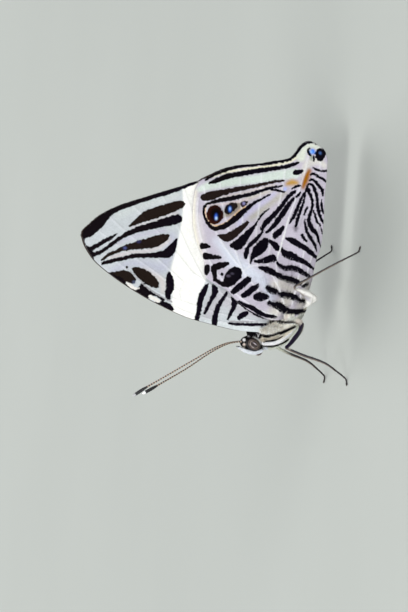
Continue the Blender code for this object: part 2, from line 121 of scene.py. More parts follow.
# Veins from the root outwards, x and z
FORE_VEINS = (
    ((-5.2, 13.0), (-5.1, 16.0), (-4.7, 20.0), (-3.8, 24.6), (-2.2, 29.0), (-0.9, 31.8)),
    ((-4.4, 13.0), (-3.9, 17.0), (-3.1, 21.5), (-2.1, 25.8), (-1.0, 29.6), (1.0, 32.9), (3.2, 36.4),
     (5.0, 39.6)),
    ((-3.4, 13.0), (-2.2, 16.2), (-0.3, 19.6), (1.4, 22.3), (2.3, 24.2)),
    ((2.3, 24.2), (0.8, 25.6), (-0.6, 26.2), (-2.1, 25.8)),
    ((-0.6, 26.2), (1.4, 29.0), (3.4, 32.4), (5.6, 36.2), (8.0, 39.9)),
    ((0.8, 25.6), (3.6, 29.2), (6.6, 33.4), (10.1, 38.1)),
    ((2.3, 24.2), (5.8, 27.6), (9.0, 31.0), (12.1, 34.5)),
    ((1.4, 22.3), (5.4, 24.9), (9.8, 27.4), (13.9, 29.9)),
    ((-0.3, 19.6), (4.6, 21.9), (10.0, 24.3), (15.1, 26.6)),
    ((-1.9, 12.6), (2.4, 15.9), (9.0, 20.4), (15.5, 24.2)),
)
HIND_VEINS = (
    ((-3.2, 11.0), (-2.5, 13.6), (-0.8, 16.6), (1.1, 18.9), (3.2, 21.0), (6.6, 22.9), (10.5, 24.2),
     (14.0, 24.4)),
    ((-2.4, 10.6), (0.0, 13.4), (3.2, 16.4), (7.6, 20.2), (12.0, 22.7), (15.9, 23.6)),
    ((-2.0, 9.6), (1.6, 10.9), (3.8, 12.6), (4.4, 14.2), (9.0, 14.7), (14.6, 14.4), (19.4, 14.5)),
    ((4.4, 14.2), (4.1, 15.4), (3.2, 16.4)),
    ((3.2, 16.4), (8.0, 18.6), (13.0, 20.4), (17.7, 21.2)),
    ((4.1, 15.4), (8.6, 16.6), (14.0, 17.5), (18.9, 17.9)),
    ((3.8, 12.6), (8.6, 12.2), (14.2, 11.3), (20.1, 10.7)),
    ((1.6, 10.9), (5.0, 11.1), (8.5, 10.4), (12.0, 9.6), (16.3, 8.4), (20.0, 7.5), (23.0, 7.2)),
    ((-1.2, 8.5), (3.0, 7.7), (9.0, 6.8), (15.0, 6.0), (21.4, 5.2)),
    ((-0.6, 7.4), (4.0, 6.3), (8.6, 5.3), (12.6, 4.9)),
)

# Markings as strokes: x, z and width of each point along a stroke's middle line
FORE_INK = (
    # outer margin, from the broad border of the tip down to the corner
    ((6.75, 41.85, 0.75), (7.35, 41.15, 1.3), (8.15, 40.25, 1.35), (9.05, 39.3, 1.3), (9.8, 38.65, 0.9),
     (10.6, 37.95, 0.75), (11.6, 36.3, 0.65), (12.95, 33.2, 0.6), (14.2, 29.9, 0.6), (15.2, 27.4, 0.5),
     (15.95, 25.8, 0.4), (16.3, 25.0, 0.3), (16.5, 24.4, 0.15)),
    ((6.7, 42.0, 0.4), (7.6, 41.8, 0.6), (8.5, 41.0, 0.6), (10.0, 39.45, 0.6), (11.0, 37.95, 0.5),
     (12.0, 36.05, 0.4), (13.25, 32.95, 0.4), (14.5, 29.75, 0.4), (15.55, 26.95, 0.35)),
    ((5.2, 41.4, 0.2), (6.0, 41.75, 0.16), (6.8, 41.95, 0.25)),
    # front margin
    ((1.3, 37.3, 0.25), (0.7, 36.2, 0.6), (0.35, 35.4, 0.7), (0.0, 34.9, 0.35), (-0.5, 34.1, 0.25),
     (-1.0, 33.2, 0.4), (-1.1, 32.6, 0.8), (-0.95, 32.0, 1.4), (-1.2, 31.3, 1.5), (-1.5, 30.8, 1.0)),
    ((-0.6, 32.2, 0.8), (0.0, 31.9, 0.5), (0.2, 31.5, 0.15)),
    ((-1.1, 31.0, 0.5), (-1.4, 30.2, 0.4), (-1.55, 29.4, 0.4), (-2.1, 28.6, 0.5)),
    ((-2.6, 29.6, 0.3), (-2.7, 28.9, 0.7), (-3.0, 28.2, 1.1), (-3.25, 27.5, 0.9), (-3.45, 26.9, 0.35)),
    # tip fan
    ((3.4, 40.1, 0.3), (4.2, 40.6, 0.8), (4.9, 41.0, 0.6), (5.2, 41.2, 0.2)),
    ((4.75, 40.85, 0.6), (5.3, 39.85, 0.65), (5.9, 38.95, 0.6), (6.45, 38.1, 0.5), (6.95, 37.35, 0.4),
     (7.5, 36.65, 0.12)),
    ((3.95, 40.2, 0.6), (4.35, 39.3, 0.55), (4.95, 38.4, 0.5), (5.55, 37.7, 0.5), (6.3, 36.8, 0.5),
     (6.95, 35.95, 0.5), (7.55, 35.1, 0.6), (8.0, 34.3, 0.7), (8.4, 33.4, 0.8), (8.8, 32.4, 0.85),
     (9.15, 31.3, 0.95), (9.55, 30.1, 1.08), (9.95, 28.9, 1.2), (10.4, 27.7, 1.3), (10.55, 27.25, 1.25)),
    ((2.75, 38.5, 0.45), (3.15, 37.4, 0.5), (3.5, 36.3, 0.5), (3.85, 35.2, 0.5), (4.2, 34.1, 0.55),
     (4.45, 33.0, 0.6), (4.5, 31.9, 0.65), (4.65, 30.6, 0.7), (4.9, 29.3, 0.95), (5.05, 28.5, 1.25),
     (5.7, 27.95, 1.25), (6.6, 27.45, 0.75), (7.5, 27.15, 0.2)),
    # bar over the white band
    ((-1.9, 27.75, 0.6), (-1.2, 27.85, 0.9), (-0.3, 27.65, 1.1), (0.8, 27.72, 1.1), (1.6, 27.9, 0.85),
     (2.2, 28.0, 0.25)),
    # bars of the base
    ((-4.8, 23.05, 0.65), (-3.5, 22.8, 0.6), (-2.0, 22.72, 0.8), (-1.0, 22.5, 0.9), (0.0, 22.1, 0.75),
     (0.8, 21.75, 0.25)),
    ((-3.75, 21.85, 0.3), (-3.1, 21.6, 0.45), (-2.2, 21.25, 0.5), (-1.35, 20.87, 0.6), (-0.55, 20.55, 0.7),
     (0.1, 20.5, 0.85), (0.7, 20.9, 0.3)),
    ((-5.2, 20.2, 0.7), (-4.8, 20.2, 0.85), (-3.9, 20.15, 0.75), (-3.0, 19.95, 0.65), (-2.1, 19.6, 0.6),
     (-1.2, 19.15, 0.5), (-0.3, 18.65, 0.35)),
    ((-4.35, 18.15, 0.35), (-3.4, 17.85, 0.45), (-2.6, 17.5, 0.65), (-1.95, 17.35, 0.75), (-1.3, 17.6, 0.55),
     (-0.9, 17.9, 0.2)),
    ((-4.0, 16.45, 0.6), (-3.6, 16.1, 0.75), (-3.2, 15.45, 0.6)),
    ((-1.4, 17.0, 0.3), (-1.75, 16.4, 0.45), (-2.15, 15.7, 0.6), (-2.55, 14.9, 0.7), (-3.0, 14.0, 0.75),
     (-3.35, 13.2, 0.7), (-3.55, 12.2, 0.5), (-3.5, 11.1, 0.35)),
    ((-4.96, 17.9, 0.35), (-4.95, 16.5, 0.38), (-4.9, 15.0, 0.38), (-4.8, 13.3, 0.38), (-4.7, 11.9, 0.35)),
)
FORE_BROWN = (
    ((8.8, 34.8, 0.2), (9.65, 33.6, 0.85), (10.55, 32.3, 1.5), (11.3, 30.6, 1.7), (11.95, 29.0, 1.65),
     (12.6, 27.5, 1.4), (12.85, 26.9, 1.2)),
    ((3.3, 38.65, 0.3), (3.9, 38.0, 0.4), (4.4, 37.3, 0.45), (4.75, 36.5, 0.5), (5.2, 35.7, 0.7),
     (5.5, 34.9, 0.85), (5.85, 33.9, 1.05), (6.1, 32.9, 1.3), (6.35, 31.9, 1.5), (6.65, 30.9, 1.65),
     (7.0, 30.0, 1.6), (7.35, 29.3, 1.3), (7.7, 28.7, 0.7)),
    ((1.4, 37.0, 0.3), (1.15, 36.2, 1.0), (1.05, 35.2, 1.85), (0.95, 34.4, 1.75), (0.55, 33.6, 1.0)),
    ((2.45, 34.65, 0.35), (2.55, 34.7, 0.3)),
    ((2.25, 33.55, 0.6), (1.8, 32.6, 1.5), (1.15, 31.4, 1.8), (0.5, 30.4, 1.6), (0.1, 29.8, 0.9)),
)
FORE_WHITE = (
    ((0.05, 34.4, 0.4), (-0.35, 33.8, 0.5), (-0.75, 33.1, 0.35), (-0.6, 32.5, 0.15)),
    ((-1.75, 30.7, 0.45), (-2.05, 30.0, 0.6), (-2.35, 29.2, 0.5)),
)
FORE_GREY = (
    ((2.2, 34.6, 0.16), (1.6, 33.7, 0.2), (0.9, 32.9, 0.22), (0.1, 31.9, 0.2), (-0.6, 30.9, 0.2),
     (-1.2, 29.8, 0.24), (-1.8, 28.5, 0.24), (-2.35, 27.2, 0.25)),
    ((-4.68, 17.9, 0.2), (-4.6, 16.5, 0.24), (-4.5, 15.0, 0.24), (-4.38, 13.7, 0.2)),
)
HIND_INK = (
    ((2.6, 22.15, 0.6), (3.05, 22.12, 0.8), (3.55, 22.1, 0.6)),
    ((1.7, 20.8, 0.5), (2.7, 20.9, 0.6), (3.4, 21.1, 0.8), (3.7, 20.5, 0.85), (4.0, 19.7, 0.8),
     (4.3, 18.95, 0.4)),
    ((1.7, 20.8, 0.4), (1.3, 20.1, 0.5), (1.0, 19.4, 0.6), (1.3, 18.8, 1.2), (2.1, 18.2, 1.85),
     (2.7, 17.7, 1.95), (3.0, 17.3, 1.3)),
    ((2.5, 19.7, 0.3), (2.6, 19.7, 0.3)),
    ((5.12, 22.5, 0.88), (5.05, 21.8, 0.7), (5.08, 21.0, 0.55), (5.1, 20.2, 0.35)),
    ((6.68, 23.1, 0.85), (6.68, 22.5, 0.6), (6.65, 22.0, 0.35)),
    ((-0.05, 17.75, 0.65), (0.7, 17.0, 0.88), (1.4, 16.2, 0.88), (2.1, 15.45, 0.7)),
    ((-0.5, 16.2, 0.6), (-0.2, 15.6, 0.85), (0.4, 15.0, 0.8), (0.9, 14.4, 0.7), (1.2, 14.1, 0.5)),
    ((-0.6, 14.4, 0.5), (-0.5, 13.5, 1.25), (-0.45, 12.5, 0.6)),
    ((-1.43, 12.1, 0.6), (-1.6, 11.2, 0.75), (-1.75, 10.5, 1.0), (-2.2, 9.8, 1.1), (-2.5, 9.1, 0.95),
     (-2.5, 8.3, 0.8), (-2.4, 7.3, 0.75), (-2.35, 6.5, 0.5)),
    ((-1.5, 16.8, 0.35), (-1.87, 16.05, 0.5), (-2.05, 15.3, 0.55), (-2.4, 14.6, 0.6), (-2.85, 13.8, 0.6),
     (-3.25, 12.7, 0.55), (-3.45, 11.7, 0.45), (-3.43, 10.9, 0.35)),
    ((1.0, 12.4, 0.6), (0.6, 11.9, 0.9), (0.42, 11.1, 0.7)),
    ((0.1, 10.4, 0.8), (-0.05, 9.2, 0.9), (-0.15, 8.4, 0.9), (-0.6, 7.6, 0.65), (-0.8, 6.6, 0.55),
     (-1.1, 5.7, 0.4)),
    ((4.0, 13.9, 0.35), (3.85, 13.0, 0.75), (3.55, 12.0, 0.85), (3.12, 11.0, 0.68), (2.65, 10.0, 0.8),
     (2.45, 9.0, 0.9), (2.2, 8.0, 0.8), (1.95, 7.4, 0.5)),
    ((1.6, 7.0, 0.35), (1.8, 6.6, 0.5), (2.0, 6.2, 0.3)),
    ((4.9, 14.7, 0.3), (5.1, 13.5, 0.6), (5.4, 12.5, 0.92), (5.6, 11.75, 1.0)),
    ((4.9, 11.0, 0.45), (4.35, 10.3, 0.58), (4.22, 9.5, 0.72), (4.35, 8.6, 0.75), (4.05, 7.6, 0.68),
     (3.5, 6.6, 0.58), (3.25, 6.0, 0.4)),
    ((4.6, 15.38, 0.15), (5.3, 15.18, 0.42), (6.1, 14.75, 1.0), (6.8, 14.15, 1.45), (7.55, 13.5, 1.42),
     (8.25, 13.1, 0.85)),
    ((5.5, 16.15, 0.5), (6.3, 16.1, 0.66), (7.0, 15.9, 0.48), (7.8, 15.22, 0.58), (8.5, 14.55, 0.54),
     (9.3, 13.9, 0.36), (9.8, 13.6, 0.2)),
    ((7.1, 18.5, 0.5), (7.2, 17.9, 1.15), (7.4, 17.35, 1.35), (8.35, 16.65, 1.1), (9.15, 16.0, 0.85),
     (9.75, 15.5, 0.62), (10.5, 14.98, 0.28), (11.15, 14.65, 0.24), (12.1, 14.0, 0.26), (12.7, 13.5, 0.22),
     (13.3, 12.8, 0.14)),
    # ring of the eyespots
    ((13.35, 22.6, 0.3), (13.0, 23.15, 0.3), (12.4, 23.4, 0.3), (11.8, 23.36, 0.3), (11.2, 23.12, 0.33),
     (10.6, 22.8, 0.35), (10.1, 22.4, 0.4), (9.65, 21.95, 0.45), (9.5, 21.4, 0.5), (9.6, 20.8, 0.58),
     (9.85, 20.1, 0.65), (10.3, 19.4, 0.68), (10.85, 18.75, 0.7), (11.35, 18.15, 0.74), (11.9, 17.6, 0.72),
     (12.5, 17.0, 0.66), (12.95, 16.5, 0.56), (13.4, 16.0, 0.48), (13.8, 15.5, 0.42), (14.3, 14.8, 0.34),
     (14.7, 14.1, 0.27), (15.05, 13.55, 0.22), (15.5, 12.95, 0.15)),
    ((13.35, 22.7, 0.3), (13.7, 21.6, 0.46), (13.98, 20.7, 0.54), (14.17, 19.85, 0.56), (14.4, 19.0, 0.56),
     (14.66, 18.0, 0.54), (14.95, 16.95, 0.5), (15.3, 15.95, 0.45), (15.65, 15.0, 0.42), (16.0, 14.2, 0.4),
     (16.35, 13.3, 0.36), (16.68, 12.2, 0.28), (16.95, 11.0, 0.2)),
    ((16.35, 13.1, 0.25), (16.22, 12.0, 0.3), (16.1, 11.2, 0.25), (16.05, 10.6, 0.2)),
    # outer strips and margin
    ((16.5, 22.75, 0.3), (16.8, 21.95, 0.6), (17.3, 20.9, 0.65), (17.75, 19.8, 0.65), (18.1, 18.6, 0.66),
     (18.45, 17.2, 0.65), (18.85, 15.6, 0.63), (19.17, 14.2, 0.6), (19.47, 12.8, 0.55), (19.77, 11.5, 0.5),
     (20.05, 10.4, 0.5), (20.4, 9.5, 0.45), (20.75, 8.75, 0.3)),
    ((16.9, 23.5, 0.2), (17.35, 22.75, 0.35), (17.8, 22.1, 0.38), (18.17, 21.4, 0.38), (18.52, 20.55, 0.38),
     (18.82, 19.8, 0.38), (19.15, 18.9, 0.38), (19.42, 18.0, 0.38), (19.67, 16.9, 0.38), (19.85, 15.7, 0.36),
     (20.1, 14.3, 0.34), (20.3, 13.2, 0.34), (20.57, 12.1, 0.34), (20.85, 11.0, 0.34), (21.2, 10.1, 0.34),
     (21.75, 9.45, 0.34), (22.5, 9.0, 0.32), (23.2, 8.5, 0.32), (23.75, 7.9, 0.32), (24.0, 7.3, 0.25),
     (24.0, 6.7, 0.12), (23.7, 6.0, 0.08)),
    ((19.2, 9.1, 0.65), (19.3, 8.55, 0.7), (19.45, 8.15, 0.4)),
    ((16.7, 9.4, 0.25), (17.05, 8.75, 0.28), (17.2, 8.15, 0.18)),
    # bars that fan from the tail
    ((10.15, 13.75, 0.5), (10.85, 13.35, 0.7), (11.6, 12.7, 0.7), (12.1, 12.2, 0.62), (12.75, 11.68, 0.6),
     (13.5, 11.15, 0.57), (14.35, 10.57, 0.52), (15.1, 10.1, 0.5), (15.75, 9.57, 0.45), (16.27, 8.95, 0.38)),
    ((9.5, 13.05, 0.35), (10.2, 12.3, 0.47), (10.9, 11.75, 0.62), (11.8, 11.2, 0.65), (12.7, 10.6, 0.67),
     (13.5, 10.15, 0.63), (14.3, 9.65, 0.55), (15.2, 9.1, 0.3)),
    ((9.15, 11.65, 0.75), (9.6, 11.15, 0.78), (10.15, 10.68, 0.62), (10.6, 10.35, 0.38)),
    ((15.45, 8.65, 0.32), (16.05, 8.1, 0.28)),
    ((11.3, 9.42, 0.22), (12.1, 9.0, 0.38), (13.1, 8.6, 0.44), (14.1, 8.25, 0.42), (15.1, 7.9, 0.36),
     (16.1, 7.45, 0.22)),
    ((10.9, 8.45, 0.35), (11.8, 8.27, 0.42), (12.6, 8.07, 0.4), (13.45, 7.83, 0.36), (14.3, 7.57, 0.32),
     (15.2, 7.42, 0.28), (16.7, 7.25, 0.18)),
    ((12.8, 7.2, 0.22), (13.45, 7.05, 0.28), (14.0, 6.76, 0.22)),
    ((8.7, 6.75, 0.33), (9.15, 7.2, 0.42), (9.6, 7.5, 0.33)),
    ((7.3, 5.0, 0.2), (8.1, 5.35, 0.38), (8.8, 5.8, 0.43), (9.5, 6.35, 0.47), (10.3, 6.75, 0.38),
     (11.2, 7.0, 0.3), (12.0, 7.1, 0.18)),
    ((8.0, 4.32, 0.15), (8.76, 4.65, 0.28), (9.5, 4.9, 0.35), (10.1, 5.3, 0.55), (10.65, 5.85, 0.68),
     (11.3, 6.3, 0.6), (12.0, 6.48, 0.52), (12.8, 6.33, 0.4), (13.5, 6.12, 0.34), (14.3, 6.03, 0.34),
     (15.1, 6.13, 0.36), (15.75, 6.4, 0.4), (16.3, 6.72, 0.44), (16.7, 6.85, 0.38)),
    ((10.1, 4.2, 0.2), (10.8, 4.4, 0.2)),
    ((11.3, 4.6, 0.24), (11.85, 5.1, 0.32), (12.6, 5.43, 0.32), (13.5, 5.75, 0.24)),
    ((11.8, 4.1, 0.24), (12.4, 4.55, 0.34), (13.2, 4.85, 0.42), (14.1, 5.18, 0.4), (14.8, 5.22, 0.38),
     (15.5, 5.35, 0.4), (16.3, 5.65, 0.42), (17.05, 6.0, 0.42), (17.55, 6.38, 0.38), (17.6, 6.75, 0.32),
     (17.2, 7.08, 0.28), (16.7, 7.25, 0.18)),
    ((13.2, 4.2, 0.24), (14.1, 4.5, 0.3), (14.8, 4.63, 0.3), (15.3, 4.6, 0.18)),
    ((15.95, 4.53, 0.2), (16.75, 4.62, 0.42), (17.3, 5.12, 0.42), (17.85, 5.7, 0.38), (18.3, 6.2, 0.3),
     (18.3, 6.55, 0.24), (18.0, 6.78, 0.14)),
    ((18.2, 4.2, 0.24), (18.55, 4.8, 0.3), (18.8, 5.45, 0.3), (19.15, 6.0, 0.28), (19.2, 6.4, 0.24),
     (19.0, 6.7, 0.18)),
    ((19.9, 4.1, 0.2), (19.72, 4.7, 0.25), (19.7, 5.15, 0.25), (19.9, 5.6, 0.25), (20.05, 6.1, 0.25),
     (20.1, 6.4, 0.18)),
    ((6.15, 4.9, 0.33), (6.65, 5.5, 0.58), (7.3, 6.5, 0.68), (7.85, 7.5, 0.72), (8.4, 8.6, 0.8),
     (8.75, 9.35, 0.6), (8.85, 9.75, 0.3)),
    ((7.15, 10.42, 0.4), (6.5, 9.95, 0.85), (6.28, 9.2, 1.05), (5.9, 8.2, 0.85), (5.5, 7.2, 0.6),
     (5.0, 6.2, 0.5), (4.5, 5.35, 0.3)),
    ((8.4, 12.4, 0.25), (7.95, 11.95, 0.6), (7.6, 11.45, 0.8), (7.3, 11.15, 0.85)),
    # tail lobe
    ((22.08, 6.98, 0.28), (22.35, 7.28, 0.32), (22.75, 7.36, 0.3), (23.15, 7.15, 0.25)),
    ((21.2, 6.32, 0.2), (22.0, 6.42, 0.24)),
    ((21.95, 5.4, 1.2), (22.35, 5.4, 1.45)),
)
HIND_BROWN = (
    ((8.45, 20.7, 0.3), (8.3, 20.0, 0.9), (8.25, 19.3, 1.3), (8.85, 18.4, 1.2), (9.55, 17.6, 1.0),
     (10.2, 16.85, 0.8), (10.8, 16.25, 0.5)),
    ((14.15, 23.6, 0.9), (14.35, 22.9, 1.35), (14.68, 21.95, 1.2), (15.0, 21.0, 1.0), (15.32, 20.0, 0.85),
     (15.62, 19.1, 0.75), (15.9, 18.0, 0.68), (16.2, 16.9, 0.6), (16.55, 15.6, 0.52), (17.0, 14.1, 0.46),
     (17.35, 12.9, 0.4), (17.6, 11.8, 0.38), (17.75, 10.9, 0.28)),
)
HIND_RIM = (
    ((11.25, 21.55, 2.2), (11.6, 21.55, 2.6), (11.95, 21.6, 2.3)),
    ((12.5, 19.5, 1.2), (12.95, 19.05, 1.35), (13.3, 18.4, 0.8)),
    ((13.6, 17.15, 0.82), (13.8, 16.9, 0.8), (14.0, 16.5, 0.3)),
)
HIND_WHITE = (
    ((5.85, 11.08, 0.16), (7.0, 10.72, 0.2), (8.5, 10.4, 0.2), (10.0, 10.05, 0.2), (12.0, 9.68, 0.14)),
)

# Soft patches of ground colour: colour as red, green and blue from 0 to 255, softness, then a stroke
LILAC_WHITE = (197, 190, 204)
CLEAR_WHITE = (255, 254, 249)
FORE_GROUND = (198, 203, 207)
FORE_PATCHES = (
    ((190, 188, 195), 0.9, ((-3.4, 21.0, 2.2), (-1.0, 19.6, 2.6), (-2.5, 15.5, 2.4), (-3.0, 12.0, 2.0))),
    ((206, 199, 197), 0.6, ((2.4, 32.0, 0.9), (1.6, 30.2, 1.0), (0.6, 28.9, 0.9), (-0.9, 28.7, 0.6))),
    ((188, 190, 205), 0.9, ((1.7, 36.6, 1.0), (3.0, 34.6, 1.0), (3.2, 31.5, 1.3), (3.0, 29.0, 1.8),
        (7.6, 28.0, 1.4))),
    ((206, 200, 201), 0.4, ((3.7, 37.4, 0.4), (4.1, 36.2, 0.6), (4.75, 34.4, 0.5), (5.2, 31.8, 0.5),
        (6.0, 29.8, 0.6), (7.3, 28.3, 0.5))),
    ((192, 192, 206), 0.6, ((6.0, 37.0, 0.5), (7.0, 34.8, 0.6), (7.9, 32.0, 0.6), (8.6, 29.4, 0.9))),
    ((204, 200, 204), 0.4, ((8.6, 34.4, 0.35), (9.6, 32.0, 0.4), (10.6, 29.4, 0.5), (11.5, 27.5, 0.7))),
    ((202, 208, 208), 0.6, ((10.4, 36.6, 1.2), (12.0, 33.4, 0.9), (13.2, 30.2, 0.9), (14.4, 27.6, 0.9))),
    (CLEAR_WHITE, 0.25, ((-5.2, 25.1, 3.8), (-2.0, 25.2, 4.0), (0.0, 25.0, 4.4), (2.0, 24.9, 5.7),
        (5.0, 24.5, 5.4), (8.0, 24.3, 5.0), (12.0, 24.7, 3.7), (16.0, 25.4, 3.0))),
    ((208, 214, 216), 0.25, ((-5.75, 12.0, 0.7), (-5.7, 14.5, 0.8), (-5.55, 17.0, 0.8), (-5.2, 19.3, 0.7),
        (-4.85, 21.6, 0.5))),
)
HIND_PATCHES = (
    ((214, 218, 231), 0.9, ((7.6, 21.0, 0.8), (6.2, 19.4, 1.6), (4.6, 17.8, 2.4), (3.2, 15.6, 2.2),
        (2.2, 13.6, 1.8), (-0.6, 11.8, 1.0))),
    ((226, 219, 221), 0.8, ((2.0, 23.0, 1.4), (5.4, 23.0, 1.2), (8.4, 23.6, 0.9), (11.0, 24.2, 0.8))),
    ((226, 221, 214), 0.8, ((-3.0, 11.4, 1.6), (-1.0, 9.6, 1.6), (0.9, 9.0, 1.2), (1.6, 11.4, 1.0),
        (2.0, 6.4, 0.9), (-1.7, 7.4, 0.8))),
    ((186, 182, 175), 0.5, ((11.6, 15.6, 0.8), (12.8, 14.2, 1.0), (14.0, 12.9, 1.0), (15.1, 11.5, 0.9),
        (15.9, 10.5, 0.5))),
    ((204, 197, 190), 0.35, ((14.4, 16.6, 0.6), (15.0, 15.2, 0.6), (15.7, 13.7, 0.5), (15.9, 12.7, 0.4))),
    ((198, 195, 222), 0.5, ((10.4, 17.6, 0.6), (11.5, 17.1, 0.8), (12.6, 16.0, 0.8), (13.6, 14.7, 0.8),
        (14.7, 13.2, 0.7), (15.6, 12.3, 0.5))),
    ((206, 196, 196), 0.3, ((14.4, 20.6, 0.35), (15.0, 18.4, 0.4), (15.6, 16.4, 0.45), (16.3, 14.4, 0.45),
        (17.0, 12.4, 0.4))),
    ((213, 224, 216), 0.35, ((15.4, 24.2, 0.9), (16.1, 22.6, 1.3), (16.6, 20.4, 1.3), (17.1, 18.2, 1.3),
        (17.6, 15.6, 1.3), (18.2, 13.2, 1.4), (18.7, 11.0, 1.5), (19.0, 9.2, 1.6))),
    ((234, 230, 206), 0.15, ((17.4, 22.4, 0.25), (18.2, 20.6, 0.35), (18.8, 18.4, 0.35), (19.2, 16.4, 0.4),
        (19.7, 14.0, 0.4), (20.2, 12.0, 0.4), (20.9, 10.0, 0.4), (21.8, 8.8, 0.4))),
    ((220, 225, 212), 0.4, ((21.6, 8.4, 1.4), (23.0, 7.9, 0.9), (23.6, 6.8, 0.8), (23.2, 5.6, 0.6))),
    ((218, 215, 210), 0.4, ((18.6, 7.8, 0.7), (20.6, 7.3, 1.2), (21.2, 5.6, 1.0), (20.6, 4.6, 0.8))),
    ((194, 152, 78), 0.4, ((17.35, 10.2, 0.6), (17.6, 9.5, 0.95), (17.6, 8.8, 0.6))),
    ((160, 100, 18), 0.4, ((17.0, 7.7, 0.6), (17.9, 7.5, 1.05), (18.8, 7.25, 1.0), (19.6, 6.95, 0.65))),
    ((226, 188, 142), 0.12, ((13.0, 22.95, 0.16), (12.2, 23.15, 0.18), (11.2, 22.85, 0.22),
        (10.4, 22.3, 0.27), (9.95, 21.5, 0.3), (10.05, 20.6, 0.3), (10.6, 19.6, 0.35), (11.3, 18.8, 0.35),
        (12.0, 18.1, 0.4), (12.7, 17.4, 0.4), (13.2, 16.7, 0.35))),
    ((150, 139, 128), 0.2, ((11.7, 20.1, 0.7), (12.2, 19.5, 1.5), (12.9, 18.8, 1.8), (13.4, 17.9, 1.2),
        (13.9, 16.7, 0.7))),
    ((218, 204, 206), 0.15, ((12.95, 22.5, 0.25), (13.15, 21.6, 0.3), (13.3, 20.6, 0.3), (13.55, 19.7, 0.3),
        (13.8, 18.6, 0.35), (14.1, 17.5, 0.5), (14.4, 16.5, 0.5))),
    ((244, 240, 222), 0.5, ((5.0, 23.2, 0.3), (7.4, 24.1, 0.5), (10.0, 24.75, 0.6), (12.5, 24.95, 0.5),
        (15.0, 24.85, 0.4))),
    ((92, 86, 96), 0.4, ((10.9, 8.5, 0.2), (10.6, 8.45, 0.6), (10.2, 8.45, 0.3))),
    ((172, 170, 178), 0.12, ((10.9, 7.75, 0.12), (11.8, 7.6, 0.14), (12.6, 7.35, 0.1))),
    ((150, 160, 140), 0.2, ((21.4, 6.75, 0.3), (21.9, 6.8, 0.4))),
)
FORE_UPPER = (
    ((244, 236, 214), 0.4, ((0.5, 31.5, 2.6), (4.0, 28.8, 3.2), (8.0, 26.8, 3.0), (12.5, 26.0, 2.0))),
)
HIND_UPPER = (
    ((168, 96, 40), 0.5, ((16.8, 22.0, 0.8), (18.6, 16.0, 0.8), (19.6, 11.0, 0.9), (21.6, 7.4, 1.0))),
)

# Small soft spots: x, z, half width, half height, colour, strength
FORE_SPOTS = (
    (5.4, 35.2, 0.25, 0.3, (90, 100, 160), 0.7),
    (6.6, 33.1, 0.3, 0.35, (60, 62, 110), 0.6),
    (0.25, 33.35, 0.3, 0.3, (90, 100, 130), 0.6),
)
HIND_SPOTS = (
    (11.8, 21.4, 1.28, 1.12, (5, 3, 4), 1.0),
    (12.75, 19.4, 0.62, 0.6, (8, 8, 20), 1.0),
    (11.35, 21.35, 0.5, 0.24, (56, 100, 214), 1.0),
    (11.1, 21.28, 0.3, 0.2, (186, 216, 255), 1.0),
    (12.68, 19.2, 0.46, 0.27, (60, 116, 226), 1.0),
    (12.75, 19.2, 0.26, 0.15, (180, 210, 255), 0.9),
    (13.55, 17.15, 0.28, 0.28, (70, 50, 70), 1.0),
    (13.75, 17.0, 0.25, 0.25, (150, 148, 200), 1.0),
    (16.5, 10.55, 0.32, 0.32, (180, 190, 240), 1.0),
    (22.65, 6.65, 0.42, 0.42, (58, 138, 250), 1.0),
    (22.6, 6.85, 0.22, 0.2, (140, 190, 255), 0.9),
    (22.5, 5.42, 0.24, 0.24, (70, 100, 160), 0.9),
    # painted highlight: grey-lilac sheen across the broad black blob
    (2.35, 18.7, 0.22, 0.35, (110, 100, 120), 0.6),
    (2.75, 18.1, 0.2, 0.3, (90, 84, 104), 0.5),
)

# Body outlines: x, z, half width, half height, with each ring square to the middle line
THORAX_ROWS = (
    (-6.55, 14.7, 0.45, 0.5), (-6.45, 14.35, 0.75, 0.95), (-6.25, 13.8, 0.9, 1.35),
    (-5.9, 12.9, 1.05, 1.85), (-5.1, 11.3, 1.7, 2.5), (-3.8, 9.9, 2.05, 2.8),
    (-2.3, 8.7, 1.95, 2.75), (-0.9, 7.8, 1.6, 2.5), (0.0, 7.3, 1.15, 1.9), (0.5, 7.0, 0.6, 1.1),
)
ABDOMEN_ROWS = (
    (-0.6, 7.45, 0.9, 1.0), (0.6, 7.3, 1.2, 1.3), (2.0, 7.1, 1.38, 1.5), (4.0, 6.9, 1.4, 1.52),
    (6.0, 6.65, 1.3, 1.42), (8.0, 6.35, 1.08, 1.18), (9.6, 6.1, 0.78, 0.85), (10.6, 5.95, 0.45, 0.5),
    (11.0, 5.9, 0.2, 0.22),
)
HEAD_MIDDLE = (-7.75, 0.0, 14.1)
HEAD_HALF = (1.25, 1.25, 1.75)

# Where the head's coat leaves room for the eyes: x and z, their halves, and the distance y
EYE_MIDDLE = (-8.0, 14.05)
EYE_HALF = (0.97, 1.07)
EYE_BACK = 0.65

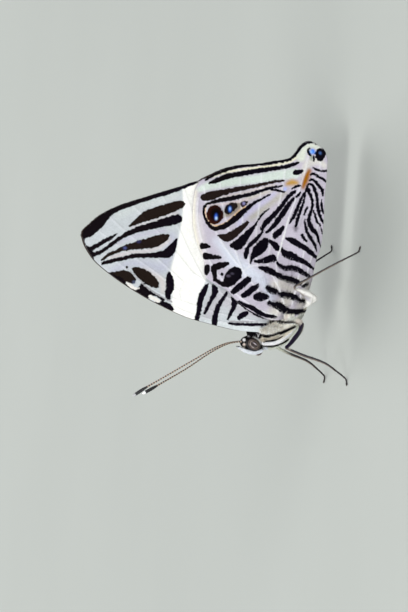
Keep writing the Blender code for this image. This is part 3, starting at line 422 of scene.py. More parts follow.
# Limbs of the right side: x, y, z and radius
LEFT_ANTENNA = (
    (-7.6, 0.45, 15.0, 0.15), (-7.7, 0.5, 16.1, 0.13), (-8.15, 0.62, 17.8, 0.12),
    (-9.1, 0.85, 19.6, 0.12), (-10.4, 1.15, 21.5, 0.12), (-12.3, 1.9, 24.1, 0.12),
    (-14.0, 2.6, 26.75, 0.125), (-15.2, 3.0, 28.65, 0.15), (-15.8, 3.2, 29.6, 0.25),
    (-16.3, 3.35, 30.4, 0.27), (-16.65, 3.45, 31.0, 0.22), (-16.8, 3.5, 31.25, 0.08),
)
RIGHT_ANTENNA = (
    (-7.6, 0.45, 15.0, 0.15), (-7.7, 0.5, 16.1, 0.13), (-8.1, 0.62, 17.8, 0.12),
    (-9.0, 0.85, 19.6, 0.12), (-10.3, 1.15, 21.5, 0.12), (-12.35, 1.9, 24.4, 0.12),
    (-14.2, 2.6, 27.0, 0.125), (-15.55, 3.0, 28.95, 0.15), (-16.2, 3.2, 29.85, 0.25),
    (-16.8, 3.35, 30.6, 0.27), (-17.2, 3.45, 31.1, 0.22), (-17.35, 3.5, 31.3, 0.08),
)
PALP_ROWS = (
    (-8.1, 0.6, 12.55, 0.22), (-8.72, 0.78, 12.45, 0.28), (-9.08, 0.86, 13.0, 0.3),
    (-9.22, 0.86, 13.65, 0.3), (-9.14, 0.84, 14.32, 0.28), (-8.95, 0.76, 14.99, 0.25),
    (-8.72, 0.66, 15.55, 0.2), (-8.48, 0.6, 16.0, 0.1),
)
FORELEG_ROWS = (
    (-7.1, 0.7, 12.15, 0.22), (-7.7, 1.35, 12.3, 0.26), (-7.68, 1.75, 11.3, 0.38),
    (-6.98, 1.9, 9.85, 0.4), (-5.95, 1.8, 8.55, 0.33), (-5.0, 1.55, 7.6, 0.14),
)
FORELEG_FOLD = (
    (-7.95, 1.1, 12.1, 0.18), (-8.4, 1.15, 11.65, 0.22), (-8.22, 1.3, 10.75, 0.22),
    (-7.85, 1.4, 9.9, 0.2), (-7.35, 1.42, 9.1, 0.17), (-6.85, 1.4, 8.5, 0.12),
)
SHOULDER_ROWS = (
    (-5.45, 1.55, 13.1, 0.1), (-5.45, 1.66, 12.6, 0.24), (-5.4, 1.66, 11.9, 0.32),
    (-5.2, 1.62, 11.1, 0.32), (-4.95, 1.62, 10.4, 0.24), (-4.8, 1.6, 10.0, 0.1),
)
MIDLEG_ROWS = (
    (-3.4, 0.6, 7.6, 0.46), (-4.1, 1.6, 6.75, 0.46), (-5.2, 2.25, 6.85, 0.38),
    (-6.6, 2.75, 7.85, 0.37), (-7.62, 3.1, 8.66, 0.3), (-8.0, 3.25, 9.12, 0.25),
    (-8.28, 3.6, 8.7, 0.22), (-9.05, 4.6, 6.5, 0.22), (-9.9, 5.9, 3.6, 0.19),
    (-11.1, 6.65, 1.6, 0.15), (-11.95, 7.2, 0.45, 0.14), (-12.35, 7.5, 0.2, 0.13),
    (-13.0, 7.95, 0.17, 0.13),
)
HINDLEG_ROWS = (
    (-1.6, 0.6, 6.9, 0.5), (-0.6, 1.7, 5.45, 0.5), (0.0, 2.9, 5.25, 0.47), (0.45, 3.7, 6.2, 0.44),
    (0.95, 4.2, 7.9, 0.3), (1.25, 4.4, 8.7, 0.22), (1.75, 4.7, 8.5, 0.18), (3.1, 5.75, 6.7, 0.17),
    (5.3, 7.5, 3.6, 0.16), (6.5, 8.4, 1.8, 0.14), (7.35, 9.05, 0.5, 0.13), (7.7, 9.35, 0.2, 0.13),
    (8.3, 9.85, 0.17, 0.13),
)
CLAW_ROWS = ((-0.08, 0.04, 0.0, 0.045), (0.08, 0.09, 0.01, 0.035), (0.18, 0.11, -0.05, 0.02),
             (0.2, 0.11, -0.13, 0.006))
RING_LENGTH = 0.42

# Markings of the body and of the limbs close to it, as seen from the side, with a painted shade on the pale
# hind femur
BODY_GROUND = (240, 233, 218)
BODY_PATCHES = (
    ((252, 246, 232), 0.5, ((-6.2, 12.2, 1.0), (-5.6, 10.5, 1.6), (-4.9, 8.6, 1.6), (-4.0, 7.0, 1.4))),
    ((232, 222, 204), 0.3, ((-7.05, 12.6, 0.6), (-7.0, 11.2, 0.7), (-6.8, 10.0, 0.6))),
    ((218, 219, 212), 0.3, ((-3.75, 8.8, 0.9), (-3.4, 7.4, 1.0), (-3.0, 6.0, 0.9))),
    ((250, 238, 230), 0.3, ((-2.7, 10.9, 0.9), (-3.15, 10.0, 1.1), (-3.5, 9.2, 0.9))),
    ((216, 219, 208), 0.1, ((-8.53, 11.67, 0.5), (-8.31, 10.59, 0.5), (-7.8, 9.54, 0.5), (-7.01, 8.5, 0.5),
        (-6.24, 7.83, 0.5), (-5.48, 7.16, 0.5))),
    ((12, 8, 20), 0.08, ((-1.31, 12.3, 0.5), (-1.51, 11.25, 0.7), (-1.9, 10.1, 1.0), (-2.5, 9.2, 0.9),
        (-2.55, 8.0, 0.8), (-2.38, 7.05, 0.75), (-2.36, 6.2, 0.5))),
    ((12, 8, 20), 0.08, ((-0.05, 9.4, 0.9), (-0.12, 8.2, 0.9), (-0.58, 7.2, 0.65), (-0.8, 6.2, 0.55),
        (-1.1, 5.4, 0.4))),
    ((10, 6, 9), 0.2, ((-8.0, 16.0, 1.4), (-7.5, 15.3, 1.8), (-6.9, 14.4, 1.2), (-8.4, 14.6, 1.4),
        (-8.6, 13.4, 1.0), (-8.3, 12.7, 0.9))),
    ((8, 5, 10), 0.1, ((-6.3, 15.6, 0.6), (-6.4, 14.6, 1.0), (-6.5, 13.7, 1.1), (-6.6, 13.1, 0.9))),
    ((8, 5, 12), 0.07, ((-6.1, 13.2, 1.0), (-6.3, 12.4, 1.0), (-6.42, 11.7, 0.8), (-6.15, 10.8, 0.6),
        (-5.9, 9.7, 0.5), (-5.35, 8.6, 0.42), (-4.85, 7.6, 0.32))),
    ((8, 5, 12), 0.07, ((-4.65, 11.9, 0.4), (-4.3, 11.2, 0.6), (-4.15, 10.7, 0.66), (-4.39, 9.9, 0.5),
        (-4.25, 8.9, 0.46), (-4.24, 7.9, 0.34), (-4.15, 6.7, 0.3), (-4.0, 6.15, 0.4))),
    ((20, 14, 16), 0.05, ((-9.62, 13.2, 0.1), (-9.5, 12.6, 0.18), (-9.1, 12.1, 0.18))),
    ((16, 10, 14), 0.06, ((-8.75, 15.5, 0.34), (-8.5, 16.1, 0.34))),
    ((252, 252, 255), 0.05, ((-7.66, 12.5, 0.5), (-7.66, 11.4, 0.56), (-7.28, 9.95, 0.6), (-6.4, 8.55, 0.56),
        (-5.0, 7.2, 0.46))),
    ((16, 11, 16), 0.05, ((-7.4, 12.3, 0.14), (-7.3, 11.6, 0.26), (-7.12, 10.8, 0.32), (-6.85, 10.1, 0.2),
        (-6.5, 9.5, 0.1))),
    ((14, 9, 13), 0.05, ((-8.05, 12.4, 0.26), (-8.02, 11.0, 0.3), (-7.6, 9.6, 0.3), (-6.85, 8.5, 0.26),
        (-6.15, 7.8, 0.18))),
    ((8, 5, 9), 0.06, ((-6.2, 15.1, 0.7), (-6.25, 14.4, 0.8), (-6.35, 13.7, 0.8), (-6.5, 13.2, 0.5))),
    ((255, 255, 255), 0.05, ((-6.78, 14.05, 0.2), (-7.0, 13.6, 0.32), (-7.3, 13.12, 0.38),
        (-7.65, 12.7, 0.38), (-7.9, 12.45, 0.32))),
    ((250, 248, 252), 0.05, ((-6.7, 13.25, 0.2), (-6.3, 13.4, 0.22), (-5.9, 13.5, 0.22))),
    ((255, 255, 255), 0.06, ((-7.42, 15.42, 0.48), (-7.4, 15.46, 0.48))),
    ((212, 198, 188), 0.06, ((-8.13, 15.33, 0.4), (-8.12, 15.37, 0.4))),
    ((222, 222, 226), 0.05, ((-6.82, 14.66, 0.26), (-6.78, 14.84, 0.26))),
    ((224, 228, 234), 0.06, ((-8.62, 15.95, 0.2), (-8.98, 15.1, 0.42), (-9.2, 14.3, 0.6), (-9.3, 13.6, 0.66),
        (-9.15, 12.9, 0.72), (-8.8, 12.3, 0.7), (-8.4, 11.9, 0.6))),
)
SHOULDER_IVORY = (255, 250, 238)
LEG_GROUND = (56, 56, 62)
LEG_PATCHES = (
    ((246, 244, 240), 0.3, ((-1.6, 6.4, 1.4), (-0.8, 5.3, 1.3), (0.0, 4.7, 1.2), (0.7, 5.4, 1.5),
        (1.0, 6.4, 1.2), (1.2, 7.4, 0.7))),
    # painted shade: soft grey on one side of the pale hind femur
    ((188, 186, 194), 0.3, ((0.0, 6.3, 0.3), (-0.3, 5.8, 0.4), (-0.6, 5.4, 0.2))),
    ((214, 206, 196), 0.3, ((-3.2, 7.4, 1.3), (-3.9, 6.4, 1.0))),
    ((222, 216, 204), 0.1, ((-8.1, 8.1, 0.3), (-7.5, 7.5, 0.3), (-6.4, 6.7, 0.3), (-5.4, 6.2, 0.3),
        (-4.6, 6.0, 0.3))),
    ((30, 20, 44), 0.06, ((-8.0, 8.8, 0.4), (-7.62, 8.4, 0.42), (-6.95, 7.78, 0.44), (-5.83, 7.12, 0.44),
        (-4.95, 6.7, 0.4), (-4.1, 6.3, 0.34))),
    ((24, 18, 22), 0.06, ((1.1, 8.35, 0.4), (1.2, 8.45, 0.4))),
)
HINDLEG_PAD = (
    (-0.9, 2.1, 5.8, 0.42), (-0.35, 2.7, 5.9, 0.64), (0.1, 3.2, 6.1, 0.72), (0.5, 3.6, 6.6, 0.64),
    (0.75, 3.95, 7.3, 0.44), (0.95, 4.2, 7.9, 0.24),
)
LEG_INNER = (204, 206, 190)
LEG_FRONT = (122, 109, 99)
LEG_FOOT = (44, 38, 42)


def linear(colour: Row) -> tuple[float, float, float]:
    """Turns a screen colour from 0 to 255 into the linear values of a shader.

    Args:
        colour: Red, green and blue, 0 to 255.

    Returns:
        Linear red, green and blue, 0 to 1.
    """
    shares = [value / 255 for value in colour]
    return tuple(s / 12.92 if s <= 0.04045 else ((s + 0.055) / 1.055) ** 2.4 for s in shares)


def ease(value: np.ndarray, low: float, high: float) -> np.ndarray:
    """Rises smoothly from 0 at low to 1 at high."""
    share = np.clip((value - low) / (high - low), 0.0, 1.0)
    return share * share * (3 - 2 * share)


def bump(distance: np.ndarray, reach: float) -> np.ndarray:
    """A smooth hill, 1 at no distance and near 0 at twice its reach."""
    return np.exp(-((distance / reach) ** 2))


def smooth_rows(rows: Rows, step: float, size: int = 2) -> np.ndarray:
    """Rows on the smooth curve through all the given rows.

    Args:
        rows: Rows of like numbers, the first of them a place.
        step: About how far apart the found rows lie.
        size: How many numbers of a row are its place.

    Returns:
        The rows found, ends included.
    """
    found = []
    last = len(rows) - 1
    for index in range(last):
        four = (rows[max(index - 1, 0)], rows[index], rows[index + 1], rows[min(index + 2, last)])
        p, q, r, s = (np.array(row, float) for row in four)
        pieces = max(1, round(math.dist(q[:size], r[:size]) / step))
        for number in range(pieces):
            t = number / pieces
            bend = (2 * p - 5 * q + 4 * r - s) + t * (3 * q - p - 3 * r + s)
            found.append(q + 0.5 * t * ((r - p) + t * bend))
    return np.array(found + [np.array(rows[-1], float)])


def travel(places: np.ndarray) -> np.ndarray:
    """How far each place lies along the line through them all."""
    return np.concatenate([[0.0], np.cumsum(np.linalg.norm(np.diff(places, axis=0), axis=1))])


def even_line(rows: Rows, count: int) -> np.ndarray:
    """Spaces points evenly along a smooth curve.

    Args:
        rows: Rows of x and z that the curve passes through.
        count: How many points.

    Returns:
        The points, ends included.
    """
    line = smooth_rows(rows, OUTLINE_STEP)
    travelled = travel(line)
    wanted = np.linspace(0.0, travelled[-1], count)
    return np.stack([np.interp(wanted, travelled, line[:, axis]) for axis in (0, 1)], 1)


def stroke_field(spots: np.ndarray, strokes: Strokes, step: float = 0.35, swell: float = 1.0) -> np.ndarray:
    """The distance from each spot to the edge of the nearest stroke.

    Args:
        spots: Places in the wing's plane, x and z.
        strokes: Strokes as rows of x, z and width.
        step: How finely a stroke's curve is followed.
        swell: What all widths are multiplied by.

    Returns:
        Distances in millimetres, below 0 inside a stroke.
    """
    nearest = np.full(len(spots), FAR)
    for rows in strokes:
        line = smooth_rows(rows, step) * (1.0, 1.0, swell)
        low = line[:, :2].min(0) - STROKE_ROOM
        high = line[:, :2].max(0) + STROKE_ROOM
        near = np.nonzero(np.all((spots > low) & (spots < high), axis=1))[0]
        if not len(near):
            continue
        close = spots[near]
        best = nearest[near]
        for (x0, z0, w0), (x1, z1, w1) in zip(line, line[1:]):
            run = np.array((x1 - x0, z1 - z0))
            share = np.clip(((close - (x0, z0)) @ run) / max(run @ run, 1e-9), 0.0, 1.0)
            away = np.hypot(close[:, 0] - x0 - share * run[0], close[:, 1] - z0 - share * run[1])
            best = np.minimum(best, away - 0.5 * (w0 + share * (w1 - w0)))
        nearest[near] = best
    return nearest


def inset(flat: np.ndarray) -> np.ndarray:
    """Keeps the places on a flat picture clear of its edges."""
    return flat * 0.96 + 0.02


def line_field(spots: np.ndarray, lines: Strokes) -> np.ndarray:
    """The distance from each spot to the nearest of some lines of x and z."""
    return stroke_field(spots, tuple(tuple((x, z, 0.0) for x, z in line) for line in lines), LINE_STEP)


@dataclass(frozen=True)
class WingStack:
    """How far the closed wings lie from the plane of symmetry, as in the frame."""

    fore_offset: float = 0.40
    tail_offset: float = 0.45
    step: float = 0.95
    close_over: float = 7.0
    base: Row = (-4.5, 10.5)
    base_spread: float = 1.6
    base_reach: float = 6.0
    fore_dip: float = 1.0
    fore_dip_reach: float = 2.0
    hind_dip: float = 0.45
    hind_dip_reach: float = 2.4
    root: Row = (-3.3, 8.6)
    root_dip: float = 1.3
    root_dip_reach: float = 1.0
    belly_bulge: float = 1.35
    belly_level: float = 6.7
    belly_reach: float = 2.6
    belly_start: tuple[float, float] = (-3.5, 2.0)
    belly_end: tuple[float, float] = (7.0, 13.0)

    def distance(self, kind: WingKind, spots: np.ndarray) -> np.ndarray:
        """Finds how far the middle of a wing's space lies from the plane of symmetry.

        Args:
            kind: The pair of wings.
            spots: Places x and z.

        Returns:
            The distance at each place.
        """
        x, z = spots.T
        away = np.hypot(x - self.base[0], z - self.base[1])
        spread = self.base_spread * bump(away, self.base_reach)
        if kind is WingKind.FORE:
            return self.fore_offset + spread - self.fore_dip * bump(away, self.fore_dip_reach)
        (x0, z0), (x1, z1) = FORE_INNER[0], FORE_INNER[-1]
        tilt = math.atan2(z1 - z0, x1 - x0)
        below = (z0 - z) * math.cos(tilt) + (x - x0) * math.sin(tilt)
        apart = (self.fore_offset + self.step - self.tail_offset) * (1 - ease(below, 0.0, self.close_over))
        over = ease(x, *self.belly_start) * (1 - ease(x, *self.belly_end))
        belly = self.belly_bulge * bump(z - self.belly_level, self.belly_reach) * over
        root = self.root_dip * bump(np.hypot(x - self.root[0], z - self.root[1]), self.root_dip_reach)
        dip = self.hind_dip * bump(away, self.hind_dip_reach)
        return self.tail_offset + apart + spread - dip + belly - root


WING_STACK = WingStack()


class Recipe:
    """A node material that is being put together."""

    def __init__(self, name: str) -> None:
        """Starts with one surface shader and its output.

        Args:
            name: The material's name.
        """
        self.material = bpy.data.materials.new(name)
        self.material.use_nodes = True
        self.tree = self.material.node_tree
        self.tree.nodes.clear()
        self.surface = self.add("ShaderNodeBsdfPrincipled")
        output = self.add("ShaderNodeOutputMaterial")
        self.tree.links.new(self.surface.outputs[0], output.inputs[0])

    def add(self, kind: str, settings: dict | None = None, **sockets: object) -> Node:
        """Adds a node.

        Args:
            kind: The node's type.
            settings: Its own properties.
            sockets: Its inputs by name, with _ for a space, or by i and a number; a value or an output.

        Returns:
            The new node.
        """
        node = self.tree.nodes.new(kind)
        for key, value in (settings or {}).items():
            setattr(node, key, value)
        for key, value in sockets.items():
            socket = node.inputs[int(key[1:])] if key[1:].isdigit() else node.inputs[key.replace("_", " ")]
            self.feed(socket, value)
        return node

    def feed(self, socket: NodeSocket, value: object) -> None:
        """Sets a socket to a value, or links an output to it.

        Args:
            socket: The input.
            value: A value, or another node's output.
        """
        if isinstance(value, NodeSocket):
            self.tree.links.new(value, socket)
        else:
            socket.default_value = value

    def data(self, name: str, kind: str = "Fac") -> NodeSocket:
        """The output that reads a piece's own attribute."""
        return self.add("ShaderNodeAttribute", {"attribute_name": name}).outputs[kind]

    def math(self, operation: str, *values: object) -> NodeSocket:
        """Does a sum.

        Args:
            operation: Its name among Blender's operations.
            values: Numbers or outputs.

        Returns:
            The output with the result.
        """
        node = self.add("ShaderNodeMath", {"operation": operation})
        for socket, value in zip(node.inputs, values):
            self.feed(socket, value)
        return node.outputs[0]

    def place(self, stretch: Row = (1.0, 1.0, 1.0)) -> NodeSocket:
        """Object coordinates, each multiplied by its own number."""
        here = self.add("ShaderNodeTexCoord").outputs["Object"]
        return self.add("ShaderNodeMapping", Vector=here, Scale=stretch).outputs[0]

    def noise(self, scale: float, detail: float = 2.0, stretch: Row = (1.0, 1.0, 1.0)) -> NodeSocket:
        """A cloudy pattern on object coordinates, about 0.5 in the mean."""
        node = self.add("ShaderNodeTexNoise", Vector=self.place(stretch), Scale=scale, Detail=detail)
        return node.outputs[0]

    def cells(self, scale: float, stretch: Row = (1.0, 1.0, 1.0), output: str = "Distance") -> NodeSocket:
        """A pattern of small cells on object coordinates."""
        return self.add("ShaderNodeTexVoronoi", Vector=self.place(stretch), Scale=scale).outputs[output]

    def step(self, value: object, low: float, high: float) -> NodeSocket:
        """A smooth step from 0 at low to 1 at high."""
        settings = {"interpolation_type": "SMOOTHSTEP"}
        return self.add("ShaderNodeMapRange", settings, Value=value, From_Min=low, From_Max=high).outputs[0]

    def mix(self, share: object, first: object, second: object, blend: str = "MIX") -> NodeSocket:
        """Mixes two colours.

        Args:
            share: The second colour's share, a number or an output.
            first: A linear colour or an output.
            second: Likewise.
            blend: The way they are mixed.

        Returns:
            The output with the mixed colour.
        """
        node = self.add("ShaderNodeMix", {"data_type": "RGBA", "blend_type": blend}, i0=share)
        for socket, value in ((node.inputs[6], first), (node.inputs[7], second)):
            self.feed(socket, (*value, 1.0) if isinstance(value, tuple) and len(value) == 3 else value)
        return node.outputs[2]

    def shade(self, colour: object, light: NodeSocket) -> NodeSocket:
        """A colour that is made lighter and darker by a number."""
        grey = self.add("ShaderNodeCombineColor", Red=light, Green=light, Blue=light).outputs[0]
        return self.mix(1.0, colour, grey, "MULTIPLY")

    def dress(self, colour: object, roughness: float, gloss: float = 0.5) -> None:
        """Sets what the surface shader shows.

        Args:
            colour: The output with its colour.
            roughness: Its roughness.
            gloss: Its specular level.
        """
        self.feed(self.surface.inputs["Base Color"], colour)
        self.feed(self.surface.inputs["Roughness"], roughness)
        self.feed(self.surface.inputs["Specular IOR Level"], gloss)

    def relief(self, height: object, distance: float, strength: float = 1.0) -> None:
        """Raises the surface shader's normal by a height, over a distance in metres."""
        node = self.add("ShaderNodeBump", Height=height, Distance=distance, Strength=strength)
        self.feed(self.surface.inputs["Normal"], node.outputs[0])


@dataclass(frozen=True)
class WingFinish:
    """Powdery wing scales with crisp markings read from the wing's own data."""

    name: str = "wing_scales"
    roughness: float = 0.75
    gloss: float = 0.04
    edge: float = 0.05
    grow: float = 0.03
    ragged: float = 0.4
    powder: float = 0.3
    row_gap: float = 0.00022
    row_wander: float = 5.0

    def markings(self, recipe: Recipe) -> NodeSocket:
        """Lays brown, ink, pale lines and spots over the ground.

        Args:
            recipe: The material.

        Returns:
            The output with the colour.
        """
        coarse = recipe.math("MULTIPLY", recipe.math("SUBTRACT", recipe.noise(2600.0, 1.0), 0.5), self.ragged)
        fine = recipe.math("MULTIPLY", recipe.math("SUBTRACT", recipe.noise(9000.0, 1.0), 0.5), self.powder)
        ragged = recipe.math("ADD", coarse, fine)
        colour = recipe.data("ground", "Color")
        for layer, grow in (("brown", self.grow), ("ink", self.grow), ("pale", 0.0)):
            distance = recipe.math("ADD", recipe.data(layer), ragged)
            cover = recipe.step(distance, self.edge + grow, grow - self.edge)
            colour = recipe.mix(cover, colour, recipe.data(f"{layer}_tint", "Color"))
        return recipe.mix(recipe.data("spot", "Alpha"), colour, recipe.data("spot", "Color"))

    def make(self) -> Material:
        """Builds the material.

        Returns:
            The finished material.
        """
        recipe = Recipe(self.name)
        x, z = WING_STACK.base
        root = ((x - MIDDLE_X) * MM, 0.0, z * MM)
        reach = recipe.add("ShaderNodeVectorMath", {"operation": "DISTANCE"}, i0=recipe.place(), i1=root)
        stray = self.row_gap * self.row_wander
        wander = recipe.math("MULTIPLY_ADD", recipe.noise(900.0), stray, reach.outputs["Value"])
        ripple = recipe.math("SINE", recipe.math("MULTIPLY", wander, 2 * math.pi / self.row_gap))
        tone = recipe.cells(7000.0, (1.0, 1.0, 0.6), "Color")
        grey = recipe.add("ShaderNodeRGBToBW", Color=tone).outputs[0]
        light = recipe.math("MULTIPLY_ADD", grey, 0.16, 0.87)
        cloud = recipe.math("MULTIPLY_ADD", recipe.noise(420.0, 4.0), 0.2, 0.9)
        light = recipe.math("MULTIPLY", light, cloud)
        light = recipe.math("MULTIPLY", light, recipe.math("MULTIPLY_ADD", ripple, 0.035, 1.0))
        recipe.dress(recipe.shade(self.markings(recipe), light), self.roughness, self.gloss)
        scale_rows = recipe.cells(9500.0, (1.0, 1.0, 0.55))
        height = recipe.math("MULTIPLY_ADD", recipe.noise(1800.0, 3.0), 0.8, scale_rows)
        recipe.relief(recipe.math("MULTIPLY_ADD", ripple, 0.3, height), 0.00002, 0.6)
        return recipe.material


@dataclass(frozen=True)
class CoatFinish:
    """Soft scales and hairs, with painted shade that darkens each towards its root, where they overlap."""

    name: str
    roughness: float = 0.7
    gloss: float = 0.1
    # painted shade: brightness at the root of each scale or hair, rising to full at its tip
    root: float = 0.84

    def make(self) -> Material:
        """Builds the material.

        Returns:
            The finished material.
        """
        recipe = Recipe(self.name)
        # painted shade between overlapping scales and hairs, darkest at their roots
        depth = recipe.math("MULTIPLY_ADD", recipe.data("share"), 1.0 - self.root, self.root)
        cloud = recipe.math("MULTIPLY_ADD", recipe.noise(3000.0), 0.24, 0.88)
        colour = recipe.shade(recipe.data("tint", "Color"), recipe.math("MULTIPLY", depth, cloud))
        recipe.dress(colour, self.roughness, self.gloss)
        recipe.relief(recipe.noise(30000.0, 2.0, (0.3, 1.0, 1.0)), 0.00001, 0.5)
        return recipe.material


@dataclass(frozen=True)
class SkinFinish:
    """Skin under the coat, in the coat's colours darkened by painted shade, with fine grain."""

    name: str
    roughness: float = 0.7
    gloss: float = 0.15
    # painted shade under the coat: the skin's mean brightness against the coat's colours
    depth: float = 0.88
    cloud: float = 0.5

    def make(self) -> Material:
        """Builds the material.

        Returns:
            The finished material.
        """
        recipe = Recipe(self.name)
        # painted shade under the coat, with cloudy grain round its mean
        darkest = self.depth - self.cloud / 2
        light = recipe.math("MULTIPLY_ADD", recipe.noise(2500.0, 4.0), self.cloud, darkest)
        recipe.dress(recipe.shade(recipe.data("tint", "Color"), light), self.roughness, self.gloss)
        recipe.relief(recipe.cells(12000.0), 0.00003, 0.5)
        return recipe.material


@dataclass(frozen=True)
class EyeFinish:
    """Glossy compound eye with fine facets."""

    name: str = "eye_facets"
    roughness: float = 0.3
    gloss: float = 0.3
    wet: float = 0.12
    wet_roughness: float = 0.12

    def make(self) -> Material:
        """Builds the material.

        Returns:
            The finished material.
        """
        recipe = Recipe(self.name)
        light = recipe.math("MULTIPLY_ADD", recipe.noise(5000.0), 0.5, 0.75)
        recipe.dress(recipe.shade(recipe.data("tint", "Color"), light), self.roughness, self.gloss)
        recipe.feed(recipe.surface.inputs["Coat Weight"], self.wet)
        recipe.feed(recipe.surface.inputs["Coat Roughness"], self.wet_roughness)
        recipe.relief(recipe.cells(22000.0), 0.00001, 0.5)
        return recipe.material


@dataclass(frozen=True)
class AntennaFinish:
    """Dark antenna with pale rings, and a white tip on the club."""

    name: str = "antenna_cuticle"
    roughness: float = 0.5
    dark: Row = (44, 32, 32)
    pale: Row = (190, 170, 150)
    club: Row = (14, 12, 18)
    tip: Row = (250, 250, 252)

    def make(self) -> Material:
        """Builds the material.

        Returns:
            The finished material.
        """
        recipe = Recipe(self.name)
        share = recipe.math("FRACT", recipe.math("DIVIDE", recipe.data("along"), RING_LENGTH))
        pale = recipe.math("MULTIPLY", recipe.step(share, 0.55, 0.7), recipe.data("shaft"))
        colour = recipe.mix(pale, linear(self.dark), linear(self.pale))
        colour = recipe.mix(recipe.data("club"), colour, linear(self.club))
        colour = recipe.mix(recipe.data("tip"), colour, linear(self.tip))
        recipe.dress(colour, self.roughness)
        recipe.relief(recipe.cells(16000.0), 0.00001, 0.6)
        return recipe.material


@dataclass(frozen=True)
class CuticleFinish:
    """Bare brown cuticle of proboscis, spines and claws."""

    name: str = "bare_cuticle"
    roughness: float = 0.35
    dark: Row = (48, 34, 28)
    light: Row = (96, 70, 54)

    def make(self) -> Material:
        """Builds the material.

        Returns:
            The finished material.
        """
        recipe = Recipe(self.name)
        colour = recipe.mix(recipe.noise(6000.0, 3.0), linear(self.dark), linear(self.light))
        recipe.dress(colour, self.roughness)
        recipe.relief(recipe.noise(20000.0), 0.00001, 0.5)
        return recipe.material


def meshed(bm: BMesh, name: str) -> Mesh:
    """Turns a drawing into a mesh.

    Args:
        bm: The drawing, which is used up.
        name: The mesh's name.

    Returns:
        The mesh, in millimetres like the drawing.
    """
    mesh = bpy.data.meshes.new(name)
    bm.to_mesh(mesh)
    bm.free()
    return mesh


def publish(
    mesh: Mesh, name: str, material: Material, nodes: tuple[str, ...] = (),
) -> Object:
    """Makes a mesh in millimetres a finished piece of the model.

    Args:
        mesh: The mesh.
        name: The piece's name.
        material: Its finish.
        nodes: The frame's nodes that the piece stands for.

    Returns:
        The scene object.
    """
    mesh.transform(Matrix.Scale(MM, 4) @ Matrix.Translation((-MIDDLE_X, 0.0, 0.0)))
    mesh.shade_smooth()
    piece = bpy.data.objects.new(name, mesh)
    bpy.context.collection.objects.link(piece)
    mesh.materials.append(material)
    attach(piece, "root")
    if nodes:
        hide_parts(*nodes)
    LOG.info("%s: %d faces", name, len(mesh.polygons))
    return piece


def write_data(mesh: Mesh, name: str, values: np.ndarray) -> None:
    """Stores one number, or one colour with its alpha, for each vertex.

    Args:
        mesh: The mesh.
        name: The name that a finish reads the data by.
        values: A number or a colour for each vertex.
    """
    kind, key = ("FLOAT", "value") if values.ndim == 1 else ("FLOAT_COLOR", "color")
    layer = mesh.attributes.new(name, kind, "POINT")
    layer.data.foreach_set(key, values.astype(np.float32).ravel())


def draw_tube(bm: BMesh, rows: np.ndarray, sides: int) -> None:
    """Draws a closed tube along its middle line.

    Args:
        bm: The drawing that it is added to.
        rows: x, y, z, half width and, where it differs, half height.
        sides: How many corners each ring has.
    """
    along = bm.verts.layers.float.get("along") or bm.verts.layers.float.new("along")
    places = [Vector(row[:3]) for row in rows]
    upright = Vector((0.0, 0.0, 1.0))
    turn = upright.rotation_difference(places[1] - places[0])
    travelled = 0.0
    for index, (place, row) in enumerate(zip(places, rows)):
        heading = places[min(index + 1, len(places) - 1)] - places[max(index - 1, 0)]
        turn = (turn @ upright).rotation_difference(heading) @ turn
        ring_place = Matrix.LocRotScale(place, turn, (row[-1], row[3], 1.0))
        if index == 0:
            cap = bmesh.ops.create_circle(bm, cap_ends=True, segments=sides, radius=1.0, matrix=ring_place)
            ring = cap["verts"]
            edges = list({edge for vert in ring for edge in vert.link_edges})
        else:
            grown = bmesh.ops.extrude_edge_only(bm, edges=edges)["geom"]
            ring = [item for item in grown if isinstance(item, BMVert)]
            fresh = set(ring)
            edges = [item for item in grown if isinstance(item, BMEdge) and fresh.issuperset(item.verts)]
            bmesh.ops.transform(bm, matrix=ring_place @ last_place.inverted(), verts=ring)
            travelled += (place - places[index - 1]).length
        last_place = ring_place
        for vert in ring:
            vert[along] = travelled
    bmesh.ops.edgeloop_fill(bm, edges=edges)


def melted(bm: BMesh, voxel: float, rounds: int) -> BMesh:
    """Melts overlapping closed forms into one even skin.

    Args:
        bm: The drawing, which is used up.
        voxel: The size of the new faces.
        rounds: How often the new skin is smoothed.

    Returns:
        The new drawing.
    """
    mesh = meshed(bm, "melting")
    helper = bpy.data.objects.new("melting", mesh)
    bpy.context.collection.objects.link(helper)
    melt = helper.modifiers.new("melt", "REMESH")
    melt.mode = "VOXEL"
    melt.voxel_size = voxel
    whole = helper.evaluated_get(bpy.context.evaluated_depsgraph_get())
    skin = bmesh.new()
    skin.from_mesh(whole.to_mesh())
    bpy.data.objects.remove(helper)
    bpy.data.meshes.remove(mesh)
    for _ in range(rounds):
        bmesh.ops.smooth_vert(skin, verts=skin.verts[:], factor=0.5,
                              use_axis_x=True, use_axis_y=True, use_axis_z=True)
    return skin


